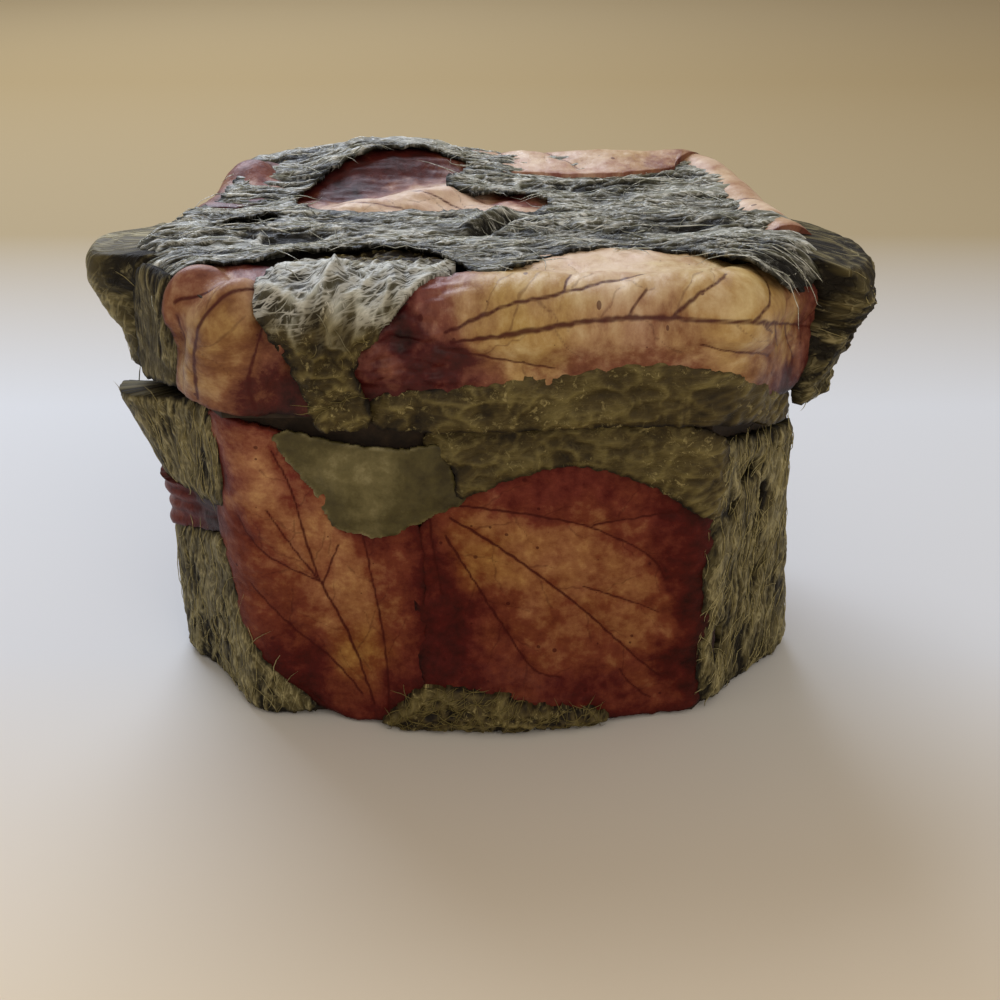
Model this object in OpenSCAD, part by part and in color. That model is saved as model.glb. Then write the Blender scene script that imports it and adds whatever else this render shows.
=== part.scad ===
// Six-sided trinket box with a lift-off lid. Board walls carry a cladding of torn
// bark sheets and pressed, veined leaves. Front is -Y, the origin is under the floor.

/* [Box plan] */
// Length of the front wall's outer face
front_w = 54; // [48:1:60]
// Length of the back wall's outer face
back_w = 58; // [50:1:64]
// Width across the two side corners
box_w = 77; // [72:1:86]
// Depth from the front wall's face to the back wall's face
box_d = 46; // [42:1:54]
// How far the side corners stand behind the front wall's face
side_set = 16; // [13:1:20]

/* [Boards] */
// Thickness of the wall boards
wall_t = 2; // [1.4:0.1:3]
// Thickness of the floor board
floor_t = 2; // [1.4:0.1:3]
// Height of the wall boards above the floor board
wall_h = 51; // [47:0.5:58]
// Thickness of the board on top of the lid
lid_t = 2; // [1.4:0.1:3]
// Thickness of the lid's rim boards
rim_t = 2; // [1.4:0.1:2.6]
// Height of the lid's rim boards
rim_h = 11.5; // [9:0.5:12]
// Clearance between the walls and the lid's rim
lid_gap = 0.4; // [0.3:0.05:0.8]

/* [Cladding] */
// Thickness of the bark sheets
bark_t = 2; // [1.5:0.1:2.1]
// Thickness of the bark along the foot of the front, where it bulges
foot_t = 2.8; // [2.2:0.1:4]
// Thickness of the bark sheet on top of the lid
top_bark_t = 2.2; // [1.6:0.1:3]
// Thickness of the pressed leaves
leaf_t = 1.2; // [0.8:0.1:1.4]
// Height of the leaf veins over the leaf
vein_h = 0.4; // [0.2:0.1:0.6]
// Width of a main vein at its root
vein_w = 0.9; // [0.6:0.1:1.2]
// Height of the bark's fibres over the sheet
fibre_h = 0.5; // [0.3:0.1:0.7]
// Spacing of the bark's fibres
fibre_pitch = 2.6; // [2:0.1:4]
// Clearance between the raised fibres' ends and the corners of the box
fibre_end = 0.8; // [0.4:0.1:1.5]
// Clearance between a leaf and the bark that is torn away round it
leaf_gap = 0.4; // [0.2:0.1:0.8]
// Clearance between the cladding and the table
foot_gap = 0.3; // [0.2:0.1:1]
// Depth of the torn edge of the bark sheets
tear = 0.3; // [0:0.1:0.4]
// How far a sheet that folds round a corner grips past it on either side
fold_lap = 1; // [0.5:0.1:2]
// How far the lump of bark on the left corner stands out of the lid's rim
left_lump_out = 4; // [3:0.5:6]
// How far the lump of bark on the right corner stands out of the lid's rim
right_lump_out = 5.5; // [3:0.5:7]

/* [Seam] */
// Height of the seam at the front
seam_z = 40; // [38:0.5:41]
// How much lower the seam is at the right corner
seam_drop_right = 6; // [2:0.5:8]
// How much lower the seam is at the left corner
seam_drop_left = 2; // [0:0.5:4]
// How much lower the seam is at the back
seam_drop_back = 2; // [0:0.5:4]
// Width of the open seam between the body's and the lid's cladding
seam_gap = 1.4; // [0.8:0.1:2]

/* [Hidden] */
lid_z = floor_t + wall_h;
lid_top = lid_z + lid_t;
rim_z = lid_z - rim_h;
rim_out = lid_gap + rim_t;
seam = [seam_z - seam_drop_left, seam_z, seam_z, seam_z - seam_drop_right,
        seam_z - seam_drop_back, seam_z - seam_drop_back];
// Faces by number, counted round from the left corner
LEFT = 0;
FRONT = 1;
RIGHT = 2;
BACK_RIGHT = 3;
BACK = 4;
BACK_LEFT = 5;
board_colour = "#b49468";
bark_colour = "#7b795c";
flap_colour = "#8a8458";
red_leaf_colour = "#8c4434";
pale_leaf_colour = "#c79a72";
// Slack by which a cutting shape runs past what it cuts
slack = 10;

// Corners of the walls' outer faces
P = [
    [-box_w / 2, side_set - box_d / 2], [-front_w / 2, -box_d / 2],
    [front_w / 2, -box_d / 2], [box_w / 2, side_set - box_d / 2],
    [back_w / 2, box_d / 2], [-back_w / 2, box_d / 2]
];
function next(i) = (i + 1) % 6;
function along(i) = (P[next(i)] - P[i]) / norm(P[next(i)] - P[i]);
function outward(i) = [along(i).y, -along(i).x];
function face_w(i) = norm(P[next(i)] - P[i]);
// Corner i of the plan moved out by t
function corner(i, t) =
    let (a = outward((i + 5) % 6), b = outward(i)) P[i] + t * (a + b) / (1 + a * b);
function ring(t) = [for (i = [0:5]) corner(i, t)];

// Seam height at a share u of the way along face i
function seam_at(i, u) = seam[i] + (seam[next(i)] - seam[i]) * u;
// Outline given in shares of a face's width and of its clad height, in millimetres
function on_body(i, pts) = [for (p = pts) [p.x * face_w(i), p.y * (seam_at(i, p.x) - seam_gap / 2)]];
function on_lid(i, pts) = [for (p = pts)
    let (low = seam_at(i, p.x) + seam_gap / 2) [p.x * face_w(i), low + p.y * (lid_top - low)]];
function on_top(pts) = [for (p = pts) [p.x * box_w / 2, p.y * box_d / 2]];

// Closed smooth curve through the points
steps = 4;
function smooth(pts) = let (n = len(pts)) [
    for (i = [0:n - 1], k = [0:steps - 1])
        let (
            a = pts[(i + n - 1) % n], b = pts[i], c = pts[(i + 1) % n], d = pts[(i + 2) % n],
            s = k / steps
        )
        b + s * (c - a) / 2 + s * s * (a - 2.5 * b + 2 * c - d / 2)
            + s * s * s * (1.5 * b - 1.5 * c + (d - a) / 2)
];

// Tapered, bowed strip from point a to point b, of width w at its root
strip_steps = 5;
function strip(a, b, bow, w, tip) =
    let (
        d = (b - a) / norm(b - a), n = [-d.y, d.x],
        mid = [for (k = [0:strip_steps])
            let (s = k / strip_steps) a + (b - a) * s + n * bow * 4 * s * (1 - s)],
        half = [for (k = [0:strip_steps]) (w + (tip - w) * k / strip_steps) / 2]
    )
    concat(
        [for (k = [0:strip_steps]) mid[k] + n * half[k]],
        [for (k = [strip_steps:-1:0]) mid[k] - n * half[k]]
    );

// Scatter between 0 and 1, the same at every build
function scatter(k) = let (s = sin(k * 127.1 + 31.7) * 437.58) s - floor(s);

// Smooth outline with a torn edge
function torn(pts, seed) = let (curve = smooth(pts), n = len(curve)) [
    for (k = [0:n - 1])
        let (d = curve[(k + 1) % n] - curve[(k + n - 1) % n], side = [-d.y, d.x] / norm(d))
        curve[k] + side * tear * (2 * scatter(seed + k) - 1)
];

// Outline moved out by d all round
function grown(pts, d) =
    let (
        n = len(pts), ones = [for (p = pts) 1],
        way = sign([for (k = [0:n - 1]) cross(pts[k], pts[(k + 1) % n])] * ones)
    )
    [for (k = [0:n - 1])
        let (t = pts[(k + 1) % n] - pts[(k + n - 1) % n]) pts[k] + [t.y, -t.x] / norm(t) * d * way];

// Fibres laid at a pitch across an outline, running about along angle a
function fibres(pts, a, seed) =
    let (
        d = [cos(a), sin(a)], n = [-d.y, d.x],
        across = [for (p = pts) p * n], length = [for (p = pts) p * d],
        count = max(floor((max(across) - min(across)) / fibre_pitch), 2),
        span = max(length) - min(length)
    )
    [for (k = [0:2 * count - 1])
        let (
            at = min(across) + (k / 2 + 0.5) * (max(across) - min(across)) / count,
            centre = min(length) + span * (k % 2 == 0 ? 0.3 : 0.72) + span * 0.16 * (scatter(seed + k) - 0.5),
            reach = span * (0.14 + 0.1 * scatter(seed + 2 * k + 7)),
            turn = fibre_pitch * 0.3 * (2 * scatter(seed + 5 * k) - 1),
            bow = fibre_pitch * 0.35 * (2 * scatter(seed + 3 * k) - 1),
            w = fibre_pitch * (0.25 + 0.3 * scatter(seed + 4 * k + 1))
        )
        strip(n * (at - turn) + d * (centre - reach), n * (at + turn) + d * (centre + reach), bow, w, w * 0.3)];

// Puts a flat outline on face i, t outside the wall's outer face
module on_face(i, t) {
    p = P[i] + t * outward(i);
    translate([p.x, p.y, 0]) rotate([0, 0, atan2(along(i).y, along(i).x)]) rotate([90, 0, 0])
        children();
}

// Board or blank on face i from t0 to t1 outside the wall's face, mitred at its ends
module panel(i, t0, t1, z0, z1) {
    translate([0, 0, z0]) linear_extrude(z1 - z0)
        polygon([corner(i, t0), corner(next(i), t0), corner(next(i), t1), corner(i, t1)]);
}

module slab(pts, z, h) {
    translate([0, 0, z]) linear_extrude(h) polygon(pts);
}

// Everything under the seam on face i, down to the foot gap
module body_band(i, t0, t1) {
    w = face_w(i);
    share = slack / w;
    on_face(i, t0 - slack) linear_extrude(t1 - t0 + 2 * slack) polygon([
        [-slack, foot_gap], [w + slack, foot_gap],
        [w + slack, seam_at(i, 1 + share) - seam_gap / 2], [-slack, seam_at(i, -share) - seam_gap / 2]
    ]);
}

// Everything over the seam on face i, up to height z1
module lid_band(i, t0, t1, z1) {
    w = face_w(i);
    share = slack / w;
    on_face(i, t0 - slack) linear_extrude(t1 - t0 + 2 * slack) polygon([
        [-slack, seam_at(i, -share) + seam_gap / 2], [w + slack, seam_at(i, 1 + share) + seam_gap / 2],
        [w + slack, z1], [-slack, z1]
    ]);
}

// Sheet of outline pts on face i, with raised strips on it that end short of the face's edges
module relief(i, t0, t, pts, strips, rise, end) {
    on_face(i, t0) linear_extrude(t) polygon(pts);
    if (len(strips) > 0) intersection() {
        on_face(i, t0) linear_extrude(t + rise) polygon(pts);
        on_face(i, t0) linear_extrude(t + rise) translate([end, 0]) square([face_w(i) - 2 * end, lid_top]);
        union() for (s = strips) on_face(i, t0) linear_extrude(t + rise) polygon(s);
    }
}

// Veins from a root to each tip, in millimetres on the face
function veins(root, tips) = [for (k = [0:1:len(tips) - 1])
    strip(root, tips[k], (k % 2 == 0 ? 0.6 : -0.6), vein_w, vein_w * 0.3)];

module body_leaf(i, outline, root, tips) {
    pts = smooth(on_body(i, outline));
    intersection() {
        relief(i, 0, leaf_t, pts, veins(on_body(i, [root])[0], on_body(i, tips)), vein_h, 0);
        panel(i, 0, leaf_t + vein_h, 0, lid_z);
        body_band(i, 0, leaf_t + vein_h);
    }
}

// Room in a bark sheet on face i for the leaf of outline pts that it lies round
module leaf_room(i, pts) {
    on_face(i, -slack) linear_extrude(2 * slack) polygon(grown(pts, leaf_gap));
}

module body_bark(i, outline, grain, seed, t = bark_t, leaf = []) {
    pts = torn(on_body(i, outline), seed);
    difference() {
        intersection() {
            relief(i, 0, t - fibre_h, pts, fibres(pts, grain, seed), fibre_h, fibre_end);
            panel(i, 0, t, 0, lid_z);
            body_band(i, 0, t);
        }
        if (len(leaf) > 0) leaf_room(i, smooth(on_body(i, leaf)));
    }
}

// Middle of a sheet of thickness t that folds round corner i, inside both its halves
module fold_core(i, t, z0, z1) {
    b = (i + 5) % 6;
    inner = corner(i, t / 4);
    outer = corner(i, t * 3 / 4);
    slab([
        inner - along(b) * fold_lap, inner, inner + along(i) * fold_lap,
        outer + along(i) * fold_lap, outer, outer - along(b) * fold_lap
    ], z0, z1 - z0);
}

module lid_leaf(i, outline, root, tips, z1 = lid_top) {
    pts = smooth(on_lid(i, outline));
    intersection() {
        relief(i, rim_out, leaf_t, pts, veins(on_lid(i, [root])[0], on_lid(i, tips)), vein_h, 0);
        panel(i, rim_out, rim_out + leaf_t + vein_h, 0, lid_top + slack);
        lid_band(i, rim_out, rim_out + leaf_t + vein_h, z1);
    }
}

module lid_bark(i, outline, grain, seed, leaf = []) {
    pts = torn(on_lid(i, outline), seed);
    difference() {
        intersection() {
            relief(i, rim_out, bark_t - fibre_h, pts, fibres(pts, grain, seed), fibre_h, fibre_end);
            panel(i, rim_out, rim_out + bark_t, 0, lid_top + slack);
            lid_band(i, rim_out, rim_out + bark_t, lid_top);
        }
        if (len(leaf) > 0) leaf_room(i, smooth(on_lid(i, leaf)));
    }
}

// Part of a leaf that is folded over onto the top of the lid
module top_leaf(outline, t) {
    intersection() {
        slab(smooth(on_top(outline)), lid_top, leaf_t);
        slab(ring(rim_out + t), lid_top, leaf_t);
    }
}

// Plan of a lump from start to end round corner i, with a blunt nose
function lump_plan(i, start, end, t, out) =
    let (b = (i + 5) % 6)
    [start + outward(b) * rim_out, start + outward(b) * (rim_out + t),
     P[i] + outward(b) * (rim_out + out) - along(b), P[i] + outward(i) * (rim_out + out) + along(i),
     end + outward(i) * (rim_out + t), end + outward(i) * rim_out];

// Torn lump of bark round corner i of the lid, thick at the top and thin at the seam
module lump(i, before, after, out) {
    b = (i + 5) % 6;
    low = seam[i] + seam_gap / 2;
    foot_out = bark_t / 2;
    start = P[i] - along(b) * before * face_w(b);
    end = P[i] + along(i) * after * face_w(i);
    difference() {
        hull() {
            slab(lump_plan(i, start, end, bark_t, out), lid_top - lid_t, lid_t);
            slab(lump_plan(i, (start + P[i]) / 2, (end + P[i]) / 2, foot_out, foot_out), low, lid_t);
        }
        slab(ring(rim_out), 0, lid_top + slack);
    }
}

module wall(i) { color(board_colour) panel(i, -wall_t, 0, floor_t, lid_z); }
module rim(i) { color(board_colour) panel(i, lid_gap, rim_out, rim_z, lid_z); }

module floor_board() { color(board_colour) slab(ring(0), 0, floor_t); }
module left_wall() { wall(LEFT); }
module front_wall() { wall(FRONT); }
module right_wall() { wall(RIGHT); }
module back_right_wall() { wall(BACK_RIGHT); }
module back_wall() { wall(BACK); }
module back_left_wall() { wall(BACK_LEFT); }

// Red leaf running from the left top corner down to the foot
module front_left_leaf() {
    color(red_leaf_colour) body_leaf(FRONT, [
        [-0.1, 1.04], [-0.1, 0.32], [0.02, 0.22], [0.09, 0.14], [0.15, 0.07], [0.19, -0.06],
        [0.28, -0.06], [0.31, 0.04], [0.37, 0.15], [0.38, 0.4], [0.38, 0.64], [0.3, 0.63],
        [0.2, 0.65], [0.15, 0.74], [0.1, 0.84], [0.05, 0.93], [0, 1.03]
    ], [0.29, 0.03], [[0.34, 0.5], [0.14, 0.68], [0.03, 0.62], [0, 0.36], [0.06, 0.9]]);
}

// Red leaf that fills the right of the front
module front_right_leaf() {
    color(red_leaf_colour) body_leaf(FRONT, [
        [0.4, 0.16], [0.4, 0.66], [0.43, 0.74], [0.5, 0.78], [0.56, 0.83], [0.66, 0.87],
        [0.74, 0.88], [0.84, 0.84], [0.9, 0.77], [0.96, 0.72], [1.02, 0.68], [1.02, 0.3],
        [1.02, 0.05], [0.92, 0.03], [0.82, 0.01], [0.78, 0.07], [0.68, 0.08], [0.6, 0.1],
        [0.53, 0.14], [0.46, 0.14]
    ], [0.42, 0.7], [[0.92, 0.6], [0.92, 0.14], [0.6, 0.18], [0.45, 0.24], [0.8, 0.78]]);
}

// Smooth green leaf folded down from the seam
module front_flap_leaf() {
    color(flap_colour) body_leaf(FRONT, [
        [0.06, 0.97], [0.14, 0.96], [0.3, 0.94], [0.41, 0.95], [0.45, 0.9], [0.46, 0.82],
        [0.47, 0.78], [0.39, 0.71], [0.33, 0.68], [0.28, 0.665], [0.22, 0.68], [0.175, 0.74],
        [0.13, 0.83], [0.08, 0.92]
    ], [0.3, 0.93], []);
}

// Bark along the seam at the right of the front
module front_rim_bark() {
    color(bark_colour) body_bark(FRONT, [
        [0.44, 0.97], [0.55, 1.02], [0.8, 1.05], [1.05, 1.05], [1.05, 0.72], [0.97, 0.76],
        [0.91, 0.81], [0.85, 0.88], [0.75, 0.92], [0.65, 0.91], [0.55, 0.87], [0.49, 0.82],
        [0.475, 0.87]
    ], 0, 3);
}

// Bark patch under the two red leaves
module front_foot_bark() {
    color(bark_colour) body_bark(FRONT, [
        [0.3, -0.08], [0.33, 0.04], [0.385, 0.12], [0.45, 0.11], [0.53, 0.11], [0.6, 0.06],
        [0.68, 0.045], [0.76, 0.03], [0.8, -0.08]
    ], 10, 5, foot_t);
}

// Narrow pink leaf in a fold across the left face
band_outline = [
    [-0.3, 0.64], [0.4, 0.66], [0.8, 0.68], [1.3, 0.69], [1.3, 0.63], [0.7, 0.6], [0.3, 0.54],
    [-0.3, 0.5]
];
module left_band_leaf() {
    color(red_leaf_colour) body_leaf(LEFT, band_outline, [0.95, 0.66], [[0.1, 0.6], [0.1, 0.54]]);
}

module left_upper_bark() {
    color(bark_colour) body_bark(LEFT, [
        [-0.2, 1.05], [1.2, 1.05], [1.2, 0.68], [0.8, 0.67], [0.4, 0.65], [-0.2, 0.63]
    ], 78, 11, leaf = band_outline);
}

// Bark of the lower left face, torn round the corner onto the front
module left_lower_bark() {
    color(bark_colour) {
        body_bark(LEFT, [
            [-0.2, 0.52], [0.3, 0.56], [0.7, 0.62], [1.2, 0.65], [1.2, -0.05], [-0.2, -0.05]
        ], 78, 17, leaf = band_outline);
        body_bark(FRONT, [
            [-0.1, 0.28], [0, 0.21], [0.08, 0.12], [0.135, 0.05], [0.165, -0.08], [-0.1, -0.08]
        ], -40, 19, foot_t);
        fold_core(FRONT, bark_t - fibre_h, on_body(FRONT, [[0, 0.04]])[0].y, on_body(FRONT, [[0, 0.14]])[0].y);
    }
}

// Coarse bark of the right face, with torn holes
module right_bark() {
    color(bark_colour) difference() {
        body_bark(RIGHT, [
            [-0.2, 1.06], [1.2, 1.06], [1.2, -0.06], [-0.2, -0.06]
        ], 84, 23);
        for (hole = [[0.5, 0.86, 3, 1.2], [0.36, 0.74, 1.4, 1.2], [0.62, 0.72, 1, 2.2], [0.2, 0.24, 1.2, 3]])
            on_face(RIGHT, bark_t / 4) linear_extrude(bark_t)
                polygon(smooth([for (a = [0:60:300]) on_body(RIGHT, [[hole[0], hole[1]]])[0]
                    + [hole[2] * cos(a), hole[3] * sin(a)] / 2 * (1 + 0.2 * scatter(a))]));
    }
}

// Pink leaf that shows past the right corner
back_right_outline = [
    [-0.2, 1.05], [0.2, 1], [0.42, 0.9], [0.52, 0.68], [0.5, 0.42], [0.36, 0.22], [0.12, 0.14],
    [-0.2, 0.14]
];
module back_right_leaf() {
    color(red_leaf_colour) body_leaf(BACK_RIGHT, back_right_outline,
        [-0.02, 0.55], [[0.4, 0.8], [0.46, 0.56], [0.34, 0.3], [0.14, 0.9]]);
}

module back_right_bark() {
    color(bark_colour) body_bark(BACK_RIGHT, [
        [0.3, 1.05], [1.2, 1.05], [1.2, -0.05], [-0.2, -0.05], [-0.2, 0.12], [0.14, 0.12],
        [0.38, 0.21], [0.52, 0.41], [0.54, 0.68], [0.44, 0.92]
    ], 74, 29, leaf = back_right_outline);
}

// Broad red leaf across the back
back_outline = [
    [-0.1, 0.58], [0.17, 0.66], [0.33, 0.765], [0.55, 0.745], [0.74, 0.665], [0.87, 0.725],
    [1.1, 0.76], [1.1, 0.4], [0.88, 0.28], [0.7, 0.2], [0.5, 0.26], [0.3, 0.16], [-0.1, 0.24]
];
module back_leaf() {
    color(red_leaf_colour) body_leaf(BACK, back_outline,
        [0.14, 0.34], [[0.3, 0.7], [0.55, 0.66], [0.82, 0.6], [0.84, 0.36], [0.5, 0.3]]);
}

module back_upper_bark() {
    color(bark_colour) body_bark(BACK, [
        [-0.1, 1.05], [1.1, 1.05], [1.1, 0.77], [0.86, 0.74], [0.74, 0.68], [0.55, 0.76],
        [0.32, 0.78], [0.16, 0.68], [-0.1, 0.6]
    ], 4, 31, leaf = back_outline);
}

module back_lower_bark() {
    color(bark_colour) body_bark(BACK, [
        [-0.1, 0.22], [0.3, 0.145], [0.5, 0.245], [0.7, 0.185], [0.89, 0.265], [1.1, 0.38],
        [1.1, -0.05], [-0.1, -0.05]
    ], -3, 37, leaf = back_outline);
}

// Red leaf on the rear left face
back_left_outline = [
    [0.2, 0.3], [0.16, 0.56], [0.3, 0.78], [0.52, 0.84], [0.74, 0.72], [0.82, 0.48], [0.7, 0.26],
    [0.44, 0.18]
];
module back_left_leaf() {
    color(red_leaf_colour) body_leaf(BACK_LEFT, back_left_outline,
        [0.3, 0.3], [[0.28, 0.66], [0.5, 0.76], [0.7, 0.62], [0.7, 0.34]]);
}

module back_left_bark() {
    color(bark_colour) body_bark(BACK_LEFT, [
        [-0.2, 1.06], [1.2, 1.06], [1.2, -0.06], [-0.2, -0.06]
    ], 80, 41, leaf = back_left_outline);
}

module lid_board() { color(board_colour) slab(ring(rim_out), lid_z, lid_t); }
module lid_left_rim() { rim(LEFT); }
module lid_front_rim() { rim(FRONT); }
module lid_right_rim() { rim(RIGHT); }
module lid_back_right_rim() { rim(BACK_RIGHT); }
module lid_back_rim() { rim(BACK); }
module lid_back_left_rim() { rim(BACK_LEFT); }

// Yellow leaf folded over the lid's left front corner
corner_fold = [
    [-0.86, -1.3], [-0.8, -0.99], [-0.73, -0.87], [-0.65, -0.87], [-0.56, -1.06], [-0.56, -1.3]
];
module lid_corner_leaf() {
    color(pale_leaf_colour) {
        lid_leaf(FRONT, [
            [-0.1, 1.3], [0.12, 1.3], [0.11, 1.08], [0.06, 0.96], [0.045, 0.86], [0.075, 0.72],
            [0.115, 0.52], [0.145, 0.31], [0.16, 0.14], [0.1, 0.06], [0.02, 0.08], [-0.1, 0.12]
        ], [-0.03, 0.2], [[0.04, 0.95], [0, 0.9], [0.09, 0.4]], lid_top + leaf_t);
        lid_leaf(LEFT, [
            [0.84, 1.3], [0.86, 0.9], [0.88, 0.5], [0.9, 0.24], [1.25, 0.1], [1.25, 1.3]
        ], [1.02, 0.2], [[0.92, 0.9]], lid_top + leaf_t);
        top_leaf(corner_fold, leaf_t);
    }
}

// Folded bark between the two pale leaves
module lid_fold_bark() {
    color(bark_colour) lid_bark(FRONT, [
        [0.065, 0.92], [0.09, 1.1], [0.3, 1.1], [0.33, 0.92], [0.31, 0.74], [0.255, 0.62],
        [0.25, 0.42], [0.265, 0.28], [0.285, 0.1], [0.285, -0.06], [0.2, -0.08], [0.175, 0.06],
        [0.17, 0.24], [0.15, 0.42], [0.12, 0.6], [0.09, 0.76]
    ], -65, 43);
}

// Large pale leaf that rolls from the lid's top over its front edge and right corner
front_fold = [
    [0.02, -1.3], [0.07, -1.1], [0.15, -0.96], [0.23, -0.79], [0.38, -0.59], [0.56, -0.54],
    [0.75, -0.71], [0.86, -0.85], [0.96, -1], [0.96, -1.3]
];
module lid_front_leaf() {
    color(pale_leaf_colour) {
        lid_leaf(FRONT, [
            [0.3, 0.36], [0.275, 0.5], [0.29, 0.6], [0.33, 0.7], [0.36, 0.88], [0.44, 0.92],
            [0.51, 0.95], [0.54, 1.2], [0.8, 1.3], [1.1, 1.3], [1.1, 0.5], [0.98, 0.5], [0.92, 0.66],
            [0.8, 0.62], [0.67, 0.56], [0.55, 0.42], [0.42, 0.35]
        ], [0.36, 0.66], [[0.6, 0.96], [0.98, 0.82], [0.6, 0.5], [0.98, 0.6]], lid_top + leaf_t);
        lid_leaf(RIGHT, [
            [-0.25, 1.3], [0.42, 1.3], [0.46, 0.9], [0.4, 0.6], [0.2, 0.46], [-0.25, 0.48]
        ], [-0.05, 0.82], [[0.4, 0.84], [0.3, 0.62]]);
        top_leaf(front_fold, leaf_t);
    }
}

// Green bark strip under the large leaf, along the lid's lower edge
module lid_edge_bark() {
    color(bark_colour) {
        lid_bark(FRONT, [
            [0.325, 0.27], [0.42, 0.28], [0.55, 0.35], [0.67, 0.49], [0.8, 0.55], [0.9, 0.58],
            [0.98, 0.43], [1.1, 0.42], [1.1, -0.06], [0.92, 0], [0.75, 0.04], [0.6, 0], [0.325, -0.06]
        ], 4, 47);
        lid_bark(RIGHT, [[-0.25, 0.4], [0.2, 0.38], [0.38, 0.3], [0.44, -0.06], [-0.25, -0.06]], 0, 53);
    }
}

module lid_left_bark() {
    color(bark_colour) lid_bark(LEFT, [
        [0.42, 1.1], [0.8, 1.1], [0.81, 0.9], [0.83, 0.5], [0.85, 0.2], [0.8, -0.06], [0.3, -0.06],
        [0.36, 0.5]
    ], 82, 59);
}

module lid_left_lump() { color(bark_colour) lump(LEFT, 0.3, 0.3, left_lump_out); }
module lid_right_lump() { color(bark_colour) lump(BACK_RIGHT, 0.48, 0.25, right_lump_out); }

// Pink leaves and bark on the lid's rear faces
module lid_back_right_leaf() {
    color(pale_leaf_colour) lid_leaf(BACK_RIGHT, [
        [0.34, 1.1], [1.2, 1.1], [1.2, 0.02], [0.8, 0.1], [0.5, 0.03], [0.34, 0.12]
    ], [1.05, 0.4], [[0.4, 0.8], [0.36, 0.4], [0.6, 0.14]]);
}

lid_back_outline = [[-0.1, 1.1], [0.5, 1.1], [0.56, 0.7], [0.5, 0.4], [0.3, 0.24], [-0.1, 0.1]];
module lid_back_leaf() {
    color(pale_leaf_colour) lid_leaf(BACK, lid_back_outline,
        [0.02, 0.4], [[0.4, 0.9], [0.48, 0.6], [0.3, 0.34]]);
}

module lid_back_bark() {
    color(bark_colour) lid_bark(BACK, [
        [0.49, 1.15], [1.1, 1.15], [1.1, -0.06], [-0.1, -0.06], [-0.1, 0.06], [0.31, 0.2],
        [0.51, 0.38], [0.57, 0.7]
    ], 3, 61, leaf = lid_back_outline);
}

lid_back_left_outline = [[-0.2, 1.1], [0.46, 1.1], [0.5, 0.6], [0.4, 0.3], [0.1, 0.2], [-0.2, 0.24]];
module lid_back_left_leaf() {
    color(pale_leaf_colour) lid_leaf(BACK_LEFT, lid_back_left_outline,
        [0.04, 0.3], [[0.2, 0.94], [0.44, 0.84], [0.44, 0.5]]);
}

module lid_back_left_bark() {
    color(bark_colour) lid_bark(BACK_LEFT, [
        [0.46, 1.15], [0.63, 1.15], [0.64, -0.06], [-0.2, -0.06], [-0.2, 0.2], [0.1, 0.17],
        [0.41, 0.27], [0.51, 0.6]
    ], 76, 67, leaf = lid_back_left_outline);
}

// Opening torn in the top bark, which shows the leaf under it
window = [
    [-0.61, 0.1], [-0.56, 0.42], [-0.45, 0.72], [-0.22, 0.86], [0, 0.82], [0.16, 0.5], [0.2, 0.2],
    [0.1, 0.04], [-0.2, 0.02], [-0.45, 0]
];

// Ridged bark over the whole top, cut back where the leaves fold over the edge
module lid_top_bark() {
    pts = torn(on_top([
        [-1.3, -0.9], [-0.95, -1.08], [-0.84, -0.98], [-0.75, -0.84], [-0.63, -0.84],
        [-0.54, -1.06], [-0.5, -1.35], [-0.05, -1.35], [0.04, -1.08], [0.13, -0.93],
        [0.22, -0.75], [0.38, -0.55], [0.57, -0.5], [0.76, -0.67], [0.88, -0.81], [1.3, -0.9],
        [1.3, 1.4], [-1.3, 1.4]
    ]), 73);
    color(bark_colour) intersection() {
        difference() {
            union() {
                slab(pts, lid_top, top_bark_t - fibre_h);
                intersection() {
                    slab(pts, lid_top, top_bark_t);
                    union() for (f = fibres(ring(rim_out), 4, 71)) slab(f, lid_top, top_bark_t);
                }
            }
            slab(torn(on_top(window), 79), lid_top - slack, top_bark_t + 2 * slack);
            for (fold = [corner_fold, front_fold])
                slab(grown(smooth(on_top(fold)), leaf_gap), lid_top - slack, top_bark_t + 2 * slack);
        }
        slab(ring(rim_out + bark_t), lid_top, top_bark_t);
    }
}

// Pink leaf lying in the window of the top bark
module lid_window_leaf() {
    color(pale_leaf_colour) slab(smooth([for (p = on_top(window)) let (c = on_top([[-0.2, 0.4]])[0])
        c + (p - c) * 0.95]), lid_top, leaf_t);
}

floor_board();
left_wall();
front_wall();
right_wall();
back_right_wall();
back_wall();
back_left_wall();
front_left_leaf();
front_right_leaf();
front_flap_leaf();
front_rim_bark();
front_foot_bark();
left_upper_bark();
left_band_leaf();
left_lower_bark();
right_bark();
back_right_leaf();
back_right_bark();
back_upper_bark();
back_leaf();
back_lower_bark();
back_left_leaf();
back_left_bark();
lid_board();
lid_left_rim();
lid_front_rim();
lid_right_rim();
lid_back_right_rim();
lid_back_rim();
lid_back_left_rim();
lid_corner_leaf();
lid_fold_bark();
lid_front_leaf();
lid_edge_bark();
lid_left_bark();
lid_left_lump();
lid_right_lump();
lid_back_right_leaf();
lid_back_leaf();
lid_back_bark();
lid_back_left_leaf();
lid_back_left_bark();
lid_top_bark();
lid_window_leaf();
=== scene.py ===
import math
import random

import bmesh
import bpy
import numpy as np
from mathutils import Matrix, Vector


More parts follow.
